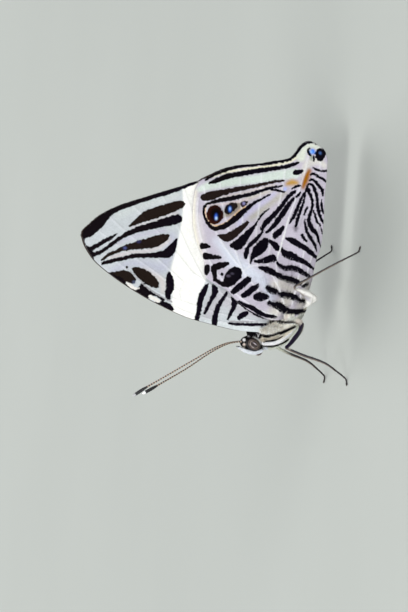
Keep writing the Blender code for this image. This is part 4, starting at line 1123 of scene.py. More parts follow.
@dataclass(frozen=True)
class WingArt:
    """The markings of one pair of wings."""

    ground: Row
    patches: Patches
    ink: Strokes
    ink_low: Row
    ink_high: Row
    ink_change: tuple[float, float]
    brown: Inks
    pale: Inks
    spots: Spots
    upper: Row
    upper_patches: Patches
    veins: Strokes
    vein_colour: Row
    vein_share: float
    swell: float
    vein_half: float = 0.13
    brightness: float = 0.81
    soft_edge: float = 0.08

    def tint(self, colour: Row) -> np.ndarray:
        """A shader colour for a colour read under the studio light."""
        return np.array(linear(colour)) * self.brightness

    def washed(self, places: np.ndarray, ground: Row, patches: Patches) -> np.ndarray:
        """The ground colour with its soft patches.

        Args:
            places: Places x and z.
            ground: The colour between the patches.
            patches: Colour, softness and stroke of each patch.

        Returns:
            One colour for each place.
        """
        colours = np.tile(self.tint(ground), (len(places), 1))
        for colour, soft, rows in patches:
            cover = ease(stroke_field(places, (rows,)), soft, -soft)[:, None]
            colours = colours * (1 - cover) + self.tint(colour) * cover
        return colours

    def nearest(self, places: np.ndarray, inks: Inks) -> tuple[np.ndarray, np.ndarray]:
        """Finds the nearest stroke among coloured groups.

        Args:
            places: Places x and z.
            inks: The colour and the strokes of each group.

        Returns:
            The distance to the stroke's edge, and its colour, for each place.
        """
        fields = [stroke_field(places, strokes) for _, strokes in inks]
        tints = np.array([self.tint(colour) for colour, _ in inks])
        return np.min(fields, axis=0), tints[np.argmin(fields, axis=0)]

    def spotted(self, places: np.ndarray) -> np.ndarray:
        """Lays the small soft spots over one another.

        Args:
            places: Places x and z.

        Returns:
            The spots' colour at each place, with their cover as its alpha.
        """
        colours = np.zeros((len(places), 4))
        for x, z, wide, high, colour, strength in self.spots:
            away = ((places[:, 0] - x) / wide) ** 2 + ((places[:, 1] - z) / high) ** 2
            cover = (strength * np.exp(-(away ** 2)))[:, None]
            total = colours[:, 3:] * (1 - cover) + cover
            mixed = colours[:, :3] * colours[:, 3:] * (1 - cover) + self.tint(colour) * cover
            colours[:, :3] = mixed / np.maximum(total, 1e-6)
            colours[:, 3:] = total
        return colours

    def seen(self, places: np.ndarray) -> np.ndarray:
        """Finds the colour of the underside, all markings together.

        Args:
            places: Places x and z.

        Returns:
            One colour with its alpha for each place.
        """
        layers = self.layers(places, np.ones(len(places), bool))
        colours = layers["ground"]
        for name in ("brown", "ink", "pale"):
            cover = ease(layers[name], self.soft_edge, -self.soft_edge)[:, None]
            colours = colours + cover * (layers[f"{name}_tint"] - colours)
        return colours

    def layers(self, places: np.ndarray, under: np.ndarray) -> dict[str, np.ndarray]:
        """All the data that the wing finish reads.

        Args:
            places: Places x and z of the vertices.
            under: Which of them belong to the underside.

        Returns:
            Data by name.
        """
        one = np.ones((len(places), 1))
        ground = np.where(under[:, None], self.washed(places, self.ground, self.patches),
                          self.washed(places, self.upper, self.upper_patches))
        vein = self.vein_share * (bump(line_field(places, self.veins), self.vein_half) * under)[:, None]
        ground += vein * (self.tint(self.vein_colour) - ground)
        change = ease(places[:, 1], *self.ink_change)[:, None]
        ink_tint = self.tint(self.ink_low) * (1 - change) + self.tint(self.ink_high) * change
        brown, brown_tint = self.nearest(places, self.brown)
        pale, pale_tint = self.nearest(places, self.pale)
        spots = self.spotted(places)
        spots[:, 3] *= under
        return {
            "ground": np.hstack([ground, one]),
            "ink": np.where(under, stroke_field(places, self.ink, swell=self.swell), FAR),
            "ink_tint": np.hstack([ink_tint, one]),
            "brown": np.where(under, brown, FAR),
            "brown_tint": np.hstack([brown_tint, one]),
            "pale": np.where(under, pale, FAR),
            "pale_tint": np.hstack([pale_tint, one]),
            "spot": spots,
        }


FORE_ART = WingArt(
    ground=FORE_GROUND,
    patches=FORE_PATCHES,
    ink=FORE_INK,
    ink_low=(10, 4, 18),
    ink_high=(15, 8, 13),
    ink_change=(24.0, 34.0),
    brown=(((32, 23, 19), FORE_BROWN),),
    pale=(((236, 232, 226), FORE_WHITE), ((160, 158, 162), FORE_GREY)),
    spots=FORE_SPOTS,
    upper=(58, 40, 30),
    upper_patches=FORE_UPPER,
    veins=FORE_VEINS,
    vein_colour=(232, 232, 236),
    vein_share=0.3,
    swell=1.08,
)
HIND_ART = WingArt(
    ground=LILAC_WHITE,
    patches=HIND_PATCHES,
    ink=HIND_INK,
    ink_low=(7, 4, 15),
    ink_high=(13, 8, 12),
    ink_change=(16.0, 21.0),
    brown=(((33, 23, 22), HIND_BROWN), ((54, 20, 12), HIND_RIM[:1]), ((34, 27, 26), HIND_RIM[1:])),
    pale=(((232, 232, 232), HIND_WHITE),),
    spots=HIND_SPOTS,
    upper=(62, 42, 30),
    upper_patches=HIND_UPPER,
    veins=HIND_VEINS,
    vein_colour=(238, 238, 242),
    vein_share=0.6,
    swell=1.16,
)


@dataclass(frozen=True)
class BodyArt:
    """Colours of the body and the limbs, drawn as they are seen from the side."""

    ground: Row
    patches: Patches = ()
    inner: Row | None = None
    front: Row | None = None
    foot: Row | None = None
    foot_share: float = 0.85
    foot_levels: tuple[float, float] = (3.0, 1.4)
    sight_level: float = 1.2
    sight_slope: float = 0.2126
    step: float = 0.2

    def colours(self, places: np.ndarray, normals: np.ndarray) -> np.ndarray:
        """Finds the colour of each place.

        Args:
            places: Places in millimetres.
            normals: The direction that the surface faces at each place.

        Returns:
            Linear colours with full alpha.
        """
        raised = (self.sight_level - np.abs(places[:, 1])) * self.sight_slope
        seen = np.stack([places[:, 0], places[:, 2] + raised], 1)
        colours = np.tile(np.array(linear(self.ground)), (len(places), 1))
        if self.front:
            colours = self.blend(colours, self.front, ease(normals[:, 0] - 0.5 * normals[:, 2], -0.2, -0.6))
        if self.foot:
            colours = self.blend(colours, self.foot, self.foot_share * ease(places[:, 2], *self.foot_levels))
        for colour, soft, rows in self.patches:
            colours = self.blend(colours, colour, ease(stroke_field(seen, (rows,), self.step), soft, -soft))
        if self.inner:
            facing = normals[:, 1] * np.sign(places[:, 1])
            near_body = ease(np.abs(places[:, 1]), 4.6, 3.4) * ease(places[:, 2], 4.4, 5.4)
            colours = self.blend(colours, self.inner, ease(facing, 0.0, -0.35) * near_body)
        return np.hstack([colours, np.ones((len(places), 1))])

    def blend(self, colours: np.ndarray, colour: Row, cover: np.ndarray) -> np.ndarray:
        """Lays one colour over the others where it covers them."""
        return colours + cover[:, None] * (np.array(linear(colour)) - colours)


BODY_ART = BodyArt(BODY_GROUND, BODY_PATCHES)
LEG_ART = BodyArt(LEG_GROUND, LEG_PATCHES, LEG_INNER, LEG_FRONT, LEG_FOOT)
SHOULDER_ART = BodyArt(SHOULDER_IVORY)


@dataclass
class Surface:
    """The places, triangles and normals of a drawn skin, in millimetres."""

    places: np.ndarray
    triangles: np.ndarray
    normals: np.ndarray

    @classmethod
    def read(cls, bm: BMesh) -> "Surface":
        """Reads the surface of a drawing, whose faces it turns outwards.

        Args:
            bm: The drawing, which stays in use.

        Returns:
            Its surface.
        """
        bmesh.ops.recalc_face_normals(bm, faces=bm.faces[:])
        bm.normal_update()
        bm.verts.index_update()
        return cls(
            np.array([vert.co[:] for vert in bm.verts]),
            np.array([[loop.vert.index for loop in loops] for loops in bm.calc_loop_triangles()]),
            np.array([vert.normal[:] for vert in bm.verts]),
        )

    def scatter(self, count: int, random: np.random.Generator) -> tuple[np.ndarray, np.ndarray]:
        """Spreads places evenly over the surface.

        Args:
            count: How many places.
            random: The source of chance.

        Returns:
            The places, and the surface's direction at each.
        """
        corners = self.places[self.triangles]
        areas = np.linalg.norm(np.cross(corners[:, 1] - corners[:, 0], corners[:, 2] - corners[:, 0]), axis=1)
        shares = np.cumsum(areas) / areas.sum()
        wanted = (np.arange(count) + random.random(count)) / count
        picked = np.searchsorted(shares, wanted).clip(0, len(shares) - 1)
        first, second = random.random((2, count))
        over = first + second > 1
        first[over], second[over] = 1 - first[over], 1 - second[over]
        weights = np.stack([1 - first - second, first, second], 1)[:, :, None]
        normals = (self.normals[self.triangles[picked]] * weights).sum(1)
        return (corners[picked] * weights).sum(1), normals / np.linalg.norm(normals, axis=1)[:, None]


@dataclass
class Coat:
    """Overlapping scales or hairs that lie along a skin, joined in one piece."""

    name: str
    count: int
    length: float
    width: float
    lift: float = 0.2
    spread: float = 0.22
    thick: float = 0.35
    sink: float = 0.02
    seed: int = 1
    tone: tuple[float, float] = (0.84, 1.1)
    lift_range: tuple[float, float] = (0.5, 1.5)
    length_range: tuple[float, float] = (0.7, 1.25)
    width_range: tuple[float, float] = (0.8, 1.2)
    patch: float = 0.003
    blade_rows: Rows = (
        (0.0, 0.0, 0.0, 0.3), (0.3, 0.0, 0.0, 0.5), (0.72, 0.0, 0.0, 0.4), (1.0, 0.0, 0.0, 0.06),
    )

    def blade(self) -> Surface:
        """Draws one scale of unit length that points along x.

        Returns:
            Its surface.
        """
        bm = bmesh.new()
        draw_tube(bm, self.blade_rows, 3)
        surface = Surface.read(bm)
        bm.free()
        return surface

    def build(self, surface: Surface, flow: Spread, unwrap: Spread, art: BodyArt, finish: Material,
              slot: str, keep: Spread | None = None) -> Object:
        """Plants the coat evenly on a skin.

        Args:
            surface: The skin it grows on.
            flow: Gives the direction the coat lies in at each root.
            unwrap: Gives each root's place on the flat picture of the skin.
            art: The coat's colours.
            finish: Its material.
            slot: Not used.
            keep: Gives the share of roots kept at each place.

        Returns:
            The finished piece.
        """
        random = np.random.default_rng(self.seed)
        roots, normals = surface.scatter(self.count, random)
        if keep is not None:
            kept = random.random(len(roots)) < keep(roots)
            roots, normals = roots[kept], normals[kept]
        tints = art.colours(roots, normals)
        return self.plant(roots, normals, flow(roots), unwrap(roots), tints, finish)

    def plant(self, roots: np.ndarray, normals: np.ndarray, along: np.ndarray, flat: np.ndarray,
              tints: np.ndarray, finish: Material) -> Object:
        """Plants the coat at given roots.

        Args:
            roots: Where each scale grows.
            normals: The direction its skin faces.
            along: The direction it lies in.
            flat: Its root's place on the flat picture of the skin.
            tints: Its colour.
            finish: The coat's material.

        Returns:
            The finished piece.
        """
        random = np.random.default_rng(self.seed + 100)
        along = along - normals * (along * normals).sum(1)[:, None]
        along /= np.maximum(np.linalg.norm(along, axis=1), 1e-6)[:, None]
        across = np.cross(normals, along)
        turn = random.normal(0.0, self.spread, len(roots))[:, None]
        turned = along * np.cos(turn) + across * np.sin(turn)
        along, across = turned, across * np.cos(turn) - along * np.sin(turn)
        lift = (self.lift * random.uniform(*self.lift_range, len(roots)))[:, None]
        axis = along * np.cos(lift) + normals * np.sin(lift)
        top = normals * np.cos(lift) - along * np.sin(lift)
        length = (self.length * random.uniform(*self.length_range, len(roots)))[:, None, None]
        width = (self.width * random.uniform(*self.width_range, len(roots)))[:, None, None]
        blade = self.blade()
        shape = blade.places
        places = (
            (roots - normals * self.sink)[:, None]
            + axis[:, None] * shape[None, :, 0:1] * length
            + across[:, None] * shape[None, :, 1:2] * width
            + top[:, None] * shape[None, :, 2:3] * width * self.thick
        )
        faces = (blade.triangles[None] + (np.arange(len(roots)) * len(shape))[:, None, None]).reshape(-1, 3)
        mesh = bpy.data.meshes.new(self.name)
        mesh.from_pydata(places.reshape(-1, 3), [], faces)
        tints = tints.copy()
        tints[:, :3] = np.minimum(tints[:, :3] * random.uniform(*self.tone, len(roots))[:, None], 1.0)
        write_data(mesh, "tint", np.repeat(tints, len(shape), axis=0))
        write_data(mesh, "share", np.tile(shape[:, 0], len(roots)))
        spots = flat[:, None] + (shape[None, :, :2] - (0.5, 0.0)) * self.patch
        layer = mesh.uv_layers.new(name="OFBake")
        layer.data.foreach_set("uv", spots.reshape(-1, 2)[faces.ravel()].astype(np.float32).ravel())
        return publish(mesh, self.name, finish)


@dataclass
class Wing:
    """One wing: a thin curved membrane with raised veins, painted on both faces."""

    kind: WingKind
    side: Side
    finish: Material
    outline: tuple[Rows, Rows, Rows, Rows]
    art: WingArt
    shift: float
    count_along: int = 236
    count_across: int = 140
    thick: float = 0.12
    vein_high: float = 0.07
    vein_half: float = 0.14
    pleat: float = 0.05
    pleat_reach: float = 1.1
    fringe_count: int = 620
    fringe_inset: float = 0.12
    hair_count: int = 3000
    hair_middle: Row = (0.4, 9.0)
    hair_reach: float = 3.0

    @property
    def name(self) -> str:
        """The wing's name, as its node has it."""
        return f"{self.kind.value}wing_{self.side.label}"

    def plane(self) -> np.ndarray:
        """Spreads an even patch between the wing's four sides.

        Returns:
            Places x and z, as many along as across.
        """
        front, outer, inner, base = self.outline
        top = even_line(front, self.count_along + 1)
        low = even_line(inner, self.count_along + 1)
        tip = even_line(tuple(reversed(outer)), self.count_across + 1)
        root = even_line(tuple(reversed(base)), self.count_across + 1)
        u = np.linspace(0.0, 1.0, self.count_along + 1)[:, None, None]
        v = np.linspace(0.0, 1.0, self.count_across + 1)[None, :, None]
        ruled = (1 - v) * low[:, None] + v * top[:, None] + (1 - u) * root[None] + u * tip[None]
        corners = (1 - u) * ((1 - v) * low[0] + v * top[0]) + u * ((1 - v) * low[-1] + v * top[-1])
        return ruled - corners

    def distance(self, spots: np.ndarray) -> np.ndarray:
        """How far the middle of the membrane lies from the plane of symmetry."""
        return WING_STACK.distance(self.kind, spots) + self.shift

    def relief(self, spots: np.ndarray) -> np.ndarray:
        """How far the membrane's face stands out at veins and in at the pleats between them."""
        away = line_field(spots, self.art.veins)
        return self.vein_high * bump(away, self.vein_half) - self.pleat * (1 - bump(away, self.pleat_reach))

    def facing(self, spots: np.ndarray, step: float = 0.05) -> np.ndarray:
        """Finds the direction that the underside faces.

        Args:
            spots: Places x and z.
            step: How far off the slope is measured.

        Returns:
            One direction of unit length for each place.
        """
        here = self.distance(spots)
        east = (self.distance(spots + (step, 0.0)) - here) / step
        north = (self.distance(spots + (0.0, step)) - here) / step
        found = np.stack([-east, np.full(len(spots), self.side.value), -north], 1)
        return found / np.linalg.norm(found, axis=1)[:, None]

    def grow(self, coat: Coat, spots: np.ndarray, out: float, heading: np.ndarray, finish: Material) -> None:
        """Plants scales or hairs that carry the wing's own markings.

        Args:
            coat: The kind of scales or hairs.
            spots: The place x and z of each root.
            out: How far outside the middle of the membrane they grow.
            heading: The direction x and z that they lie in.
            finish: Their material.
        """
        roots = np.stack([spots[:, 0], self.side.value * (self.distance(spots) + out), spots[:, 1]], 1)
        low, high = spots.min(0), spots.max(0)
        flat = inset((spots - low) / (high - low))
        along = np.stack([heading[:, 0], 0 * heading[:, 0], heading[:, 1]], 1)
        coat.plant(roots, self.facing(spots), along, flat, self.art.seen(spots), finish)

    def build_fringe(self, finish: Material) -> None:
        """Edges the outer margin with short scales.

        Args:
            finish: Their material.
        """
        line = even_line(self.outline[1], self.fringe_count)
        heads = np.gradient(line, axis=0)
        heads /= np.linalg.norm(heads, axis=1)[:, None]
        out = np.stack([-heads[:, 1], heads[:, 0]], 1)
        coat = Coat(f"{self.name}_fringe", self.fringe_count, 0.2, 0.13, lift=0.05, sink=0.0, seed=31)
        self.grow(coat, line - out * self.fringe_inset, 0.0, out, finish)

    def build_hair(self, finish: Material) -> None:
        """Spreads fine hair over the root of the wing's underside.

        Args:
            finish: Its material.
        """
        random = np.random.default_rng(32)
        plane = self.plane().reshape(-1, 2)
        share = bump(np.hypot(*(plane - self.hair_middle).T), self.hair_reach)
        spots = plane[random.choice(len(plane), self.hair_count, False, share / share.sum())]
        coat = Coat(f"{self.name}_hair", self.hair_count, 0.42, 0.05, lift=0.14, spread=0.3, seed=33)
        self.grow(coat, spots, self.thick / 2, spots - WING_STACK.base, finish)

    def build(self) -> None:
        """Models the membrane and paints the markings of both faces on it."""
        side = self.side.value
        plane = self.plane().transpose(1, 0, 2).reshape(-1, 2)
        bm = bmesh.new()
        bmesh.ops.create_grid(bm, x_segments=self.count_along, y_segments=self.count_across, size=1.0)
        bm.verts.ensure_lookup_table()
        for vert, (x, z), y, rise in zip(bm.verts, plane, self.distance(plane), self.relief(plane)):
            vert.co = (x, side * (y + self.thick / 2 + rise), z)
        grown = bmesh.ops.extrude_face_region(bm, geom=bm.faces[:])["geom"]
        inner = [item for item in grown if isinstance(item, BMVert)]
        bmesh.ops.translate(bm, verts=inner, vec=(0.0, -side * self.thick, 0.0))
        bmesh.ops.recalc_face_normals(bm, faces=bm.faces[:])
        name = f"{self.name}_scaled"
        mesh = publish(meshed(bm, name), name, self.finish, (self.name,)).data
        places = np.zeros(len(mesh.vertices) * 3)
        mesh.vertices.foreach_get("co", places)
        places = places.reshape(-1, 3) / MM + (MIDDLE_X, 0.0, 0.0)
        spots = places[:, [0, 2]]
        under = np.abs(places[:, 1]) > self.distance(spots) + self.relief(spots)
        for layer, values in self.art.layers(spots, under).items():
            write_data(mesh, layer, values)


@dataclass
class Body:
    """Head, thorax and abdomen under one skin, with their coats."""

    skin_finish: Material
    coat_finish: Material
    depth: float = 0.14
    head_depth: float = 0.12
    voxel: float = 0.1
    smoothing: int = 3
    segment: float = 1.25
    groove: float = 0.07
    first_x: float = -10.0
    last_x: float = 12.0

    def rings(self, rows: Rows, step: float) -> np.ndarray:
        """Sinks an outline by the coat's depth.

        Args:
            rows: x, z, half width and half height of the outline.
            step: About how far apart the rings lie.

        Returns:
            Rows of x, y, z, half width and half height.
        """
        x, z, wide, high = smooth_rows(rows, step).T
        return np.stack([x, 0 * x, z, wide - self.depth, high - self.depth], 1)

    def flow(self, roots: np.ndarray) -> np.ndarray:
        """The coat lies back along the body, and up over the crown of the head."""
        head = ease(roots[:, 0], -6.4, -7.4)[:, None]
        return (1 - head) * np.array((0.85, 0.0, -0.5)) + head * np.array((0.55, 0.0, -0.25))

    def unwrap(self, roots: np.ndarray) -> np.ndarray:
        """Flattens the skin by length along the body and angle round it.

        Args:
            roots: Places on the skin.

        Returns:
            The place of each on the flat picture.
        """
        x, y, z = roots.T
        line = [HEAD_MIDDLE[::2]] + [row[:2] for row in THORAX_ROWS[2:-1] + ABDOMEN_ROWS[1:]]
        middle = np.interp(x, *np.array(sorted(line)).T)
        share = (x - self.first_x) / (self.last_x - self.first_x)
        return inset(np.stack([share, 0.5 + np.arctan2(y, z - middle) / (2 * math.pi)], 1))

    def build(self) -> None:
        """Models the skin and plants its coats."""
        bm = bmesh.new()
        draw_tube(bm, self.rings(THORAX_ROWS, 0.3), 40)
        abdomen = self.rings(ABDOMEN_ROWS, 0.12)
        groove = 1 - self.groove * np.abs(np.sin(abdomen[:, 0] * math.pi / self.segment)) ** 6
        abdomen[:, 3:] *= groove[:, None]
        draw_tube(bm, abdomen, 36)
        half = Vector(HEAD_HALF) - Vector((self.head_depth,) * 3)
        bmesh.ops.create_uvsphere(bm, u_segments=40, v_segments=24, radius=1.0,
                                  matrix=Matrix.LocRotScale(Vector(HEAD_MIDDLE), None, half))
        skin = melted(bm, self.voxel, self.smoothing)
        surface = Surface.read(skin)
        mesh = meshed(skin, "body_skin")
        write_data(mesh, "tint", BODY_ART.colours(surface.places, surface.normals))
        publish(mesh, "body_skin", self.skin_finish, ("head", "thorax", "abdomen"))
        coats = (
            (Coat("thorax_coat", 9200, 0.42, 0.15, seed=11, tone=(0.8, 1.25)), self.thorax_share),
            (Coat("head_coat", 60000, 0.17, 0.075, lift=0.25, seed=12), self.head_share),
            (Coat("abdomen_coat", 22000, 0.32, 0.15, seed=13), self.abdomen_share),
            (Coat("ruff_coat", 14000, 0.75, 0.085, lift=0.42, spread=0.35, seed=14, tone=(0.6, 1.25)),
             self.ruff_share),
        )
        for coat, share in coats:
            coat.build(surface, self.flow, self.unwrap, BODY_ART, self.coat_finish, "body_scales", share)

    def thorax_share(self, roots: np.ndarray) -> np.ndarray:
        """Which roots belong to the thorax."""
        return (roots[:, 0] > -6.8) & (roots[:, 0] < 0.2)

    def ruff_share(self, roots: np.ndarray) -> np.ndarray:
        """Finds where long hair stands: at the wing roots and over the back.

        Args:
            roots: Places on the skin.

        Returns:
            The share of hairs kept at each.
        """
        x, y, z = roots.T
        line = np.abs((x + 5.3) * 0.62 + (z - 11.6) * 0.30)
        shoulder = bump(line, 0.55) * ease(np.abs(y), 0.7, 1.2) * ease(z, 9.2, 10.0)
        back = ease(z - (7.6 - 0.95 * x), 0.4, 1.6) * ease(x, -5.8, -5.0)
        return 0.9 * np.maximum(shoulder, back) * (x < 0.4)

    def abdomen_share(self, roots: np.ndarray) -> np.ndarray:
        """Which roots belong to the abdomen."""
        return roots[:, 0] >= 0.0

    def head_share(self, roots: np.ndarray) -> np.ndarray:
        """Finds the roots on the head outside the eyes.

        Args:
            roots: Places on the skin.

        Returns:
            Which of them are kept.
        """
        x, y, z = roots.T
        eye = ((x - EYE_MIDDLE[0]) / EYE_HALF[0]) ** 2 + ((z - EYE_MIDDLE[1]) / EYE_HALF[1]) ** 2 < 0.8
        return (x < -6.4) & ~(eye & (np.abs(y) > EYE_BACK))


@dataclass
class Eye:
    """A domed, slanted compound eye with nested bands round a dark core, and a painted highlight beside the
    core.
    """

    side: Side
    finish: Material
    middle: Row = (-7.93, 1.0, 13.84)
    half: Row = (0.93, 0.77, 1.22)
    slant: float = 0.52
    ground: Row = (62, 51, 50)
    bands: tuple[tuple[Row, float, float], ...] = (
        ((84, 70, 66), 0.0, 0.14), ((14, 9, 11), 0.42, 0.08), ((122, 106, 96), 0.55, 0.05),
        ((14, 9, 11), 0.67, 0.06), ((98, 82, 74), 0.77, 0.045), ((10, 6, 9), 0.89, 0.09),
        ((5, 3, 5), 1.0, 0.12),
    )
    core: Row = (4, 3, 4)
    # painted highlight: a pale streak that stands for the lamps' reflection on the glossy eye
    glint: Row = (186, 178, 186)

    def draw(self) -> BMesh:
        """Draws the dome, cut flat where the head covers it.

        Returns:
            The drawing.
        """
        side = self.side.value
        x, y, z = self.middle
        upright = Matrix.Rotation(self.slant, 4, "Y")
        poles = Matrix.Rotation(math.pi / 2, 4, "X")
        shape = Matrix.Translation((x, side * y, z)) @ upright @ Matrix.Diagonal((*self.half, 1.0)) @ poles
        bm = bmesh.new()
        bmesh.ops.create_uvsphere(bm, u_segments=128, v_segments=96, radius=1.0, matrix=shape)
        bmesh.ops.bisect_plane(bm, geom=bm.verts[:] + bm.edges[:] + bm.faces[:], clear_inner=True,
                               plane_co=(0.0, side * EYE_BACK, 0.0), plane_no=(0.0, side, 0.0))
        bmesh.ops.holes_fill(bm, edges=[edge for edge in bm.edges if edge.is_boundary])
        return bm

    def tints(self, places: np.ndarray) -> np.ndarray:
        """Colours the bands, the core and the painted highlight, a pale streak of reflected light, beside it.

        Args:
            places: Places on the eye.

        Returns:
            One colour with full alpha for each.
        """
        east, north = places[:, 0] - self.middle[0], places[:, 2] - self.middle[2]
        line = (north * math.cos(self.slant) + east * math.sin(self.slant)) / self.half[2]
        across = (east * math.cos(self.slant) - north * math.sin(self.slant)) / self.half[0]
        out = np.hypot(line, across)
        tint = np.tile(np.array(linear(self.ground)), (len(out), 1))
        layers = [(bump(out - place, wide), colour) for colour, place, wide in self.bands]
        layers.append((bump(across + 0.12, 0.1) * bump(line - 0.12, 0.2), self.core))
        # painted highlight: pale streak of reflected light beside the core
        layers.append((bump(across - 0.14, 0.07) * bump(line + 0.02, 0.26), self.glint))
        for cover, colour in layers:
            tint += cover[:, None] * (np.array(linear(colour)) - tint)
        return np.hstack([tint, np.ones((len(tint), 1))])

    def build(self) -> None:
        """Models and colours the eye."""
        bm = self.draw()
        surface = Surface.read(bm)
        mesh = meshed(bm, "eye")
        write_data(mesh, "tint", self.tints(surface.places))
        publish(mesh, f"eye_{self.side.label}_facets", self.finish, (f"eye_{self.side.label}",))


@dataclass
class Limb:
    """A jointed limb with its own short coat, spines and claws."""

    kind: str
    side: Side
    rows: Rows
    art: BodyArt
    skin_finish: Material
    coat_finish: Material
    spine_finish: Material
    joints: tuple[int, ...] = ()
    ankle: int = 0
    coat_count: int = 1500
    coat_length: float = 0.2
    coat_width: float = 0.08
    depth: float = 0.02
    waist: float = 0.24
    waist_reach: float = 0.11
    sides: int = 14
    step: float = 0.1
    foot_parts: int = 5
    spines: int = 0
    spine_length: float = 0.16
    spine_turn: float = 0.8
    fold: Rows = ()
    slot: str = "leg_scales"

    def line(self) -> np.ndarray:
        """Draws the limb's middle line in, at its joints and between the parts of its foot.

        Returns:
            Rows of x, y, z and radius, mirrored to the limb's side.
        """
        line = smooth_rows(self.rows, self.step, 3)
        travelled = travel(line[:, :3])
        marks = [travelled[self.row_place(line, index)] for index in self.joints]
        if self.ankle:
            start = travelled[self.row_place(line, self.ankle)]
            marks += list(np.linspace(start, travelled[-1], self.foot_parts + 1)[:-1])
        for mark in marks:
            line[:, 3] *= 1 - self.waist * bump(travelled - mark, self.waist_reach)
        line[:, 3] -= self.depth
        line[:, 1] *= self.side.value
        return line

    def row_place(self, line: np.ndarray, index: int, side: float = 1.0) -> int:
        """Which point of the line, on the right side or mirrored, belongs to one of the rows."""
        row = np.array(self.rows[index][:3]) * (1.0, side, 1.0)
        return int(np.argmin(np.linalg.norm(line[:, :3] - row, axis=1)))

    def nearest(self, line: np.ndarray, roots: np.ndarray) -> np.ndarray:
        """Which point of the line lies nearest to each root."""
        return np.argmin(np.linalg.norm(roots[:, None] - line[None, :, :3], axis=2), axis=1)

    def flow(self, roots: np.ndarray) -> np.ndarray:
        """The coat lies towards the foot."""
        line = self.line()
        return np.gradient(line[:, :3], axis=0)[self.nearest(line, roots)]

    def unwrap(self, roots: np.ndarray) -> np.ndarray:
        """Flattens the skin by length along the limb and angle round it.

        Args:
            roots: Places on the skin.

        Returns:
            The place of each on the flat picture.
        """
        line = self.line()
        near = self.nearest(line, roots)
        out = roots - line[near, :3]
        angle = np.arctan2(out[:, 1], out[:, 0] + out[:, 2])
        return inset(np.stack([near / len(line), 0.5 + angle / (2 * math.pi)], 1))

    def build(self) -> None:
        """Models the limb, its coat, its spines and its claws."""
        name = f"{self.kind}_{self.side.label}"
        bm = bmesh.new()
        draw_tube(bm, self.line(), self.sides)
        if self.fold:
            fold = smooth_rows(self.fold, self.step, 3)
            fold[:, 1] *= self.side.value
            draw_tube(bm, fold, self.sides)
        surface = Surface.read(bm)
        mesh = meshed(bm, name)
        write_data(mesh, "tint", self.art.colours(surface.places, surface.normals))
        publish(mesh, f"{name}_skin", self.skin_finish, (name,))
        coat = Coat(f"{name}_coat", self.coat_count, self.coat_length, self.coat_width, seed=21 + len(name))
        coat.build(surface, self.flow, self.unwrap, self.art, self.coat_finish, self.slot)
        if self.spines:
            self.build_spines(f"{name}_claws")

    def build_spines(self, name: str) -> None:
        """Adds two rows of spines under shin and foot, and two claws.

        Args:
            name: The piece's name.
        """
        line = self.line()
        heads = np.gradient(line[:, :3], axis=0)
        bm = bmesh.new()
        knee = self.row_place(line, self.joints[-1], self.side.value)
        for number in range(self.spines):
            index = knee + round((len(line) - 8 - knee) * (number + 0.5) / self.spines)
            head = Vector(heads[index]).normalized()
            down = Vector((0.0, 0.0, -1.0))
            down = (down - head * down.dot(head)).normalized()
            across = head.cross(down)
            for turn in (-self.spine_turn, self.spine_turn):
                out = down * math.cos(turn) + across * math.sin(turn)
                root = Vector(line[index, :3]) + out * (line[index, 3] * 0.7)
                tip = root + (out + head) * self.spine_length
                draw_tube(bm, ((*root, 0.03), (*((root + tip) / 2 + out * 0.02), 0.022), (*tip, 0.004)), 6)
        self.draw_claws(bm, line)
        publish(meshed(bm, name), name, self.spine_finish)

    def draw_claws(self, bm: BMesh, line: np.ndarray) -> None:
        """Draws the two hooked claws at the end of the foot.

        Args:
            bm: The drawing that they are added to.
            line: The limb's middle line.
        """
        tip = Vector(line[-1, :3])
        head = (tip - Vector(line[-4, :3])).normalized()
        across = head.cross(Vector((0.0, 0.0, 1.0))).normalized()
        for turn in (-1.0, 1.0):
            rows = tuple(
                (*(tip + head * ahead + across * (turn * aside) + Vector((0.0, 0.0, rise))), radius)
                for ahead, aside, rise, radius in CLAW_ROWS
            )
            draw_tube(bm, smooth_rows(rows, 0.04, 3), 8)


@dataclass
class Shoulder:
    """The small pad over the root of a forewing, with its long pale hair."""

    side: Side
    skin_finish: Material
    coat_finish: Material
    sides: int = 20
    waves: float = 9.0

    def flow(self, roots: np.ndarray) -> np.ndarray:
        """The hair hangs over the wing's front edge in waves."""
        lean = np.sin(roots[:, 2] * self.waves)
        return np.stack([-0.9 + 0 * lean, 0 * lean, -0.2 + 0.55 * lean], 1)

    def unwrap(self, roots: np.ndarray) -> np.ndarray:
        """Flattens the pad, its outer and inner half side by side.

        Args:
            roots: Places on the pad.

        Returns:
            The place of each on the flat picture.
        """
        low, high = roots.min(0), roots.max(0)
        share = (roots - low) / (high - low)
        inner_half = roots[:, 1] < roots[:, 1].mean()
        return inset(np.stack([0.45 * share[:, 2] + 0.5 * inner_half, share[:, 0]], 1))

    def build(self) -> None:
        """Models the pad and its hair."""
        rows = smooth_rows(SHOULDER_ROWS, 0.12, 3)
        rows[:, 1] *= self.side.value
        bm = bmesh.new()
        draw_tube(bm, rows, self.sides)
        surface = Surface.read(bm)
        mesh = meshed(bm, "shoulder")
        write_data(mesh, "tint", SHOULDER_ART.colours(surface.places, surface.normals))
        name = f"shoulder_{self.side.label}"
        publish(mesh, f"{name}_pad", self.skin_finish)
        hair = Coat(f"{name}_coat", 2000, 0.7, 0.08, lift=0.38, spread=0.6, seed=15, tone=(0.5, 1.35))
        hair.build(surface, self.flow, self.unwrap, SHOULDER_ART, self.coat_finish, "body_scales")


